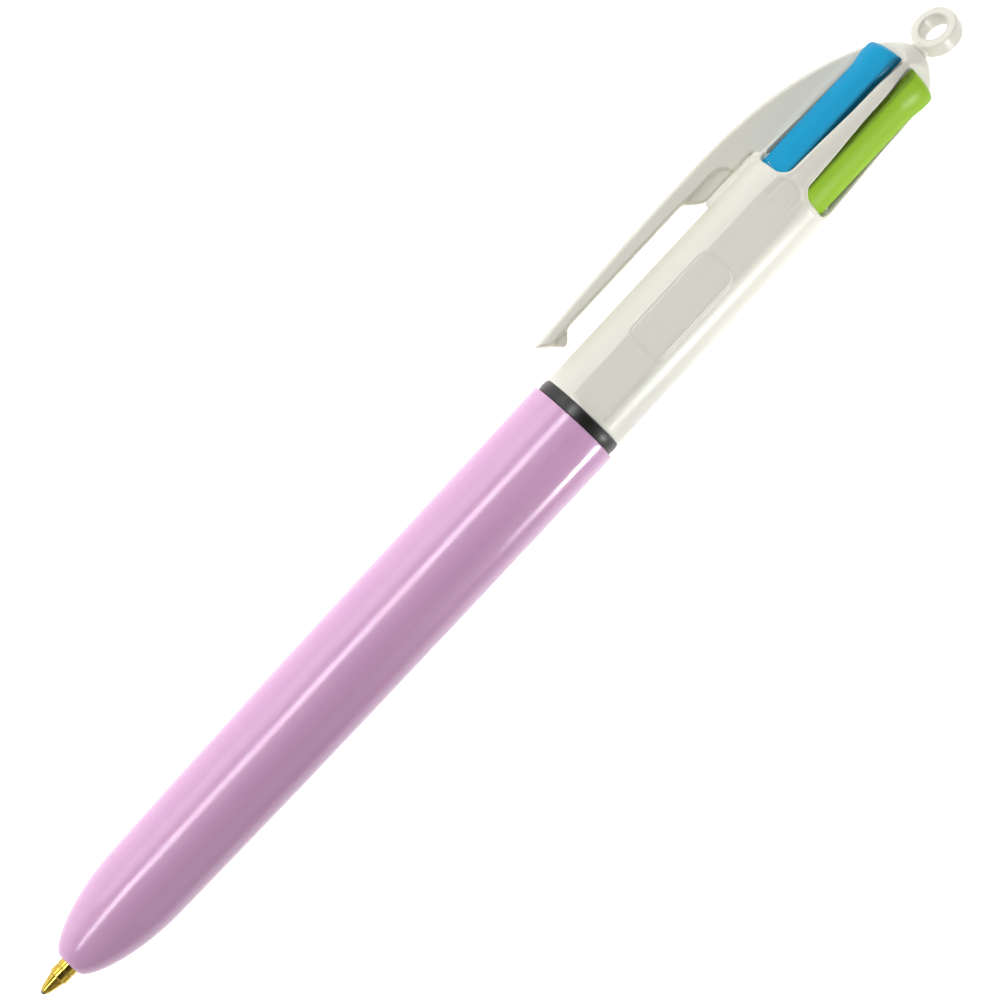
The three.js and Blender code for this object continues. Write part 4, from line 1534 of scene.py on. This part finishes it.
@dataclass
class Refill:
    """One refill: brass point with its ball, plastic tube and ink, hung on its slider."""

    colour: Colour
    length: float = 97.0
    stub_offset: float = 2.7
    parked_offset: float = 2.45
    ball_r: float = 0.35
    tube_x: float = 7.3

    def hung(self, grid: np.ndarray) -> np.ndarray:
        """Leans and moves a piece drawn along the axis to where the slider holds it."""
        offset = 0.0 if self.colour.pressed else self.parked_offset
        lean = math.asin((self.stub_offset - offset) / self.length)
        x, y, z = np.moveaxis(grid - [self.length, 0, 0], -1, 0)
        c, s = math.cos(lean), math.sin(lean)
        x, y = x * c - y * s + self.length, x * s + y * c + self.stub_offset
        raised = TRAVEL - self.colour.sunk
        return around(np.stack([x + raised, y, z], -1), self.colour.angle)

    def tip(self) -> bpy.types.Object:
        """The point: burnished lip, cone, small step, barrel with a groove, and plug."""
        corners = [
            [0.62, 0.0], [0.62, 0.27], [0.3, 0.34], [0.33, 0.43], [0.8, 0.62], [2.58, 1.02],
            [2.64, 1.17], [3.55, 1.17], [3.62, 1.11], [3.78, 1.11], [3.85, 1.17], [6.6, 1.17],
            [7.0, 1.1], [7.05, 0.62], [9.9, 0.62], [10, 0.5], [10, 0.0],
        ]
        grid = lathe(eased(corners, 0.07, 4), 56)
        return Shell().add(self.hung(grid), round_columns=True).make(f"{self.colour.key}_point", 30.0)

    def ball(self) -> bpy.types.Object:
        """The ball: circles of latitude about the pen's axis, closed at both poles."""
        a = np.linspace(0, math.pi, 21)
        profile = np.stack([self.ball_r * (1 - np.cos(a)), self.ball_r * np.sin(a)], 1)
        shell = Shell().add(self.hung(lathe(profile, 32)), round_columns=True)
        return shell.make(f"{self.colour.key}_ball", 60.0)

    def tube(self) -> bpy.types.Object:
        """The plastic tube: a thin wall with eased ends."""
        corners = [[self.tube_x, 0.8], [self.tube_x, 1.1], [self.length, 1.1], [self.length, 0.8]]
        stretch = looped(corners, 0.08, 4)
        return Shell().add(self.hung(lathe(stretch, 40)), True, True).make(f"{self.colour.key}_tube")

    def ink(self) -> bpy.types.Object:
        """The ink column, with a hollow meniscus at its rear end."""
        s = np.linspace(0, 1, 9)[:, None]
        hollow = np.concatenate([84 - 0.7 * (1 - s**2), 0.6 * s], 1)[::-1]
        profile = np.concatenate([[[10.4, 0], [10.4, 0.5], [10.5, 0.6], [83.6, 0.6]], hollow])
        shell = Shell().add(self.hung(lathe(profile, 28)), round_columns=True)
        return shell.make(f"{self.colour.key}_ink_column")

    def build_and_dress(self, shop: Workshop) -> None:
        """Makes the four pieces and gives each its finish, on the refill's body."""
        key = self.colour.key
        body = f"refill_{key}"
        shop.dress(self.tip(), BRASS, "refill_brass", body, f"refill_tip_{key}")
        shop.dress(self.ball(), CARBIDE, "ball_steel", body, f"refill_ball_{key}")
        shop.dress(self.tube(), TUBING, "refill_tubing", body, f"refill_tube_{key}")
        shop.dress(self.ink(), self.colour.ink(), f"{key}_ink", body, f"ink_{key}")


# --- Studio -------------------------------------------------------------------------------------


class Use(Enum):
    """What a light does: (lights surfaces, shows in gloss)."""

    BOTH = (True, True)
    GLINT = (False, True)
    FILL = (True, False)


@dataclass
class Studio:
    """Camera, soft lights and pale floor.

    Places are in the pen's axes, in millimetres. The surround glows less towards its top, from
    one share of the full height to another.
    """

    eye: tuple = (68.0, 0.0, 380.0)
    target: tuple = (76.2, 0.1, 0.0)
    lens: float = 120.5
    roll: float = 47.07
    sky_heights: tuple = (0.5, 0.96)
    sky_glow: tuple = (0.36, 0.04)
    floor_glow: float = 0.7
    beam_spread: float = 24.0

    def facing(self, eye: np.ndarray, target: np.ndarray, up: np.ndarray) -> Matrix:
        """A camera's or light's place and turn, looking along -Z with Y up.

        Args:
            eye: where it stands, in the frame.
            target: the point that it looks at.
            up: the direction that is up in its view.

        Returns:
            Its 4 by 4 matrix.
        """
        back = (eye - target) / np.linalg.norm(eye - target)
        right = np.cross(up, back)
        right /= np.linalg.norm(right)
        columns = np.column_stack([right, np.cross(back, right), back])
        made = np.eye(4)
        made[:3, :3], made[:3, 3] = columns, eye
        return Matrix(made.tolist())

    def camera(self) -> None:
        """Stands the camera over the pen, turned so that the pen rises to the right."""
        data = bpy.data.cameras.new("studio_camera")
        data.lens, data.sensor_width = self.lens, 36.0
        data.clip_start, data.clip_end = 0.01, 10.0
        camera = bpy.data.objects.new("studio_camera", data)
        angle = math.radians(self.roll)
        up = AXES.turned(np.array([math.sin(angle), math.cos(angle), 0.0]))
        eye, target = (AXES.placed(np.array(place)) for place in (self.eye, self.target))
        camera.matrix_world = self.facing(eye, target, up)
        bpy.context.scene.collection.objects.link(camera)
        bpy.context.scene.camera = camera

    def softbox(
        self, name: str, place: tuple, size: tuple, power: float, use: Use = Use.BOTH
    ) -> bpy.types.Object:
        """Hangs a soft box that faces the pen.

        Args:
            name: its name.
            place: its place in the pen's axes, in millimetres.
            size: its length along the pen and its width, in millimetres.
            power: its power in watts.
            use: whether it lights surfaces, shows in their gloss, or both.

        Returns:
            The light.
        """
        data = bpy.data.lights.new(name, "AREA")
        data.shape, data.size, data.size_y = "RECTANGLE", size[0] * MM, size[1] * MM
        data.energy = power
        light = bpy.data.objects.new(name, data)
        eye = AXES.placed(np.array(place, float))
        target = AXES.placed(np.array([place[0], 0.0, 0.0]))
        along = AXES.turned(np.array([1.0, 0, 0]))
        up = np.cross((eye - target) / np.linalg.norm(eye - target), along)
        light.matrix_world = self.facing(eye, target, up)
        light.visible_diffuse, light.visible_glossy = use.value
        bpy.context.scene.collection.objects.link(light)
        return light

    def floor(self) -> None:
        """Lays a wide pale floor, a shallow dish that curls up far from the pen."""
        r = np.concatenate([[0.0], np.geomspace(0.05, 2.4, 26)])[:, None]
        a = (np.arange(64) * TURN / 64)[None]
        z = -0.00004 + 0.25 * smooth(1.2, 2.4, r)
        grid = np.stack(np.broadcast_arrays(r * np.cos(a), r * np.sin(a), z), -1)
        mesh = bpy.data.meshes.new("floor")
        index = np.arange(r.size * a.size).reshape(r.size, a.size)
        index = np.concatenate([index, index[:, :1]], 1)
        corners = [index[:-1, :-1], index[1:, :-1], index[1:, 1:], index[:-1, 1:]]
        quads = np.stack(corners, -1).reshape(-1, 4)
        mesh.from_pydata(grid.reshape(-1, 3).tolist(), [], quads.tolist())
        mesh.polygons.foreach_set("use_smooth", np.ones(len(mesh.polygons), bool))
        floor = bpy.data.objects.new("floor", mesh)
        bpy.context.scene.collection.objects.link(floor)
        material, graph, shader = begun("floor_paper")
        fibre = graph.noise(millimetres(graph), 0.9, 5.0)
        colour = graph.mix(fibre, (0.93, 0.93, 0.93, 1), (0.97, 0.97, 0.97, 1))
        graph.feed(shader, {"Base Color": colour, "Roughness": 0.9, "Specular IOR Level": 0.1})
        graph.feed(shader, {"Emission Color": (1, 1, 1, 1), "Emission Strength": self.floor_glow})
        mesh.materials.append(material)

    def build(self) -> None:
        """Sets up the camera, the lights, the floor and a dim white surround."""
        self.camera()
        self.softbox("streak_light", (-250, 232, 560), (1300, 130), 5.0, use=Use.GLINT)
        self.softbox("top_fill", (60, 60, 600), (500, 300), 1.28, use=Use.FILL)
        self.softbox("clip_side_light", (60, 520, 260), (620, 420), 1.6)
        self.softbox("far_side_light", (60, -560, 210), (520, 300), 0.22)
        beam = self.softbox("casing_light", (125, -330, 40), (60, 60), 0.014)
        beam.data.spread = math.radians(self.beam_spread)
        self.floor()
        world = bpy.data.worlds.new("surround")
        world.use_nodes = True
        graph = Graph(world.node_tree)
        sky = world.node_tree.nodes["Background"]
        sky.inputs[0].default_value = (1, 1, 1, 1)
        way = graph.node("ShaderNodeTexCoord").outputs["Generated"]
        up = tuple(AXES.turned(np.array([0.0, 0.0, 1.0])))
        high = graph.node("ShaderNodeVectorMath", {0: way, 1: up}, operation="DOT_PRODUCT").outputs["Value"]
        glow = graph.spread(high, *self.sky_heights, self.sky_glow)
        world.node_tree.links.new(glow, sky.inputs[1])
        bpy.context.scene.world = world
        bpy.context.scene.view_settings.view_transform = "Standard"


def main() -> None:
    """Builds the pen, piece by piece, and the studio round it."""
    logging.basicConfig(level=logging.INFO, format="%(name)s: %(message)s")
    shop = Workshop()
    body = UpperBody()
    for part in (LowerBarrel(), TrimRing(), body, Clip(), ClipPad(), Crown()):
        part.dress(part.build(), shop)
    plaque = Plaque()
    plaque.dress(plaque.build(body), shop)
    shop.keep("latch_core", INNER)
    shop.keep("spring_seat", INNER)
    for colour in Colour:
        for part in (Slider(colour), ReturnSpring(colour)):
            part.dress(part.build(), shop)
        Refill(colour).build_and_dress(shop)
    Studio().build()


if __name__ == "__main__":
    main()
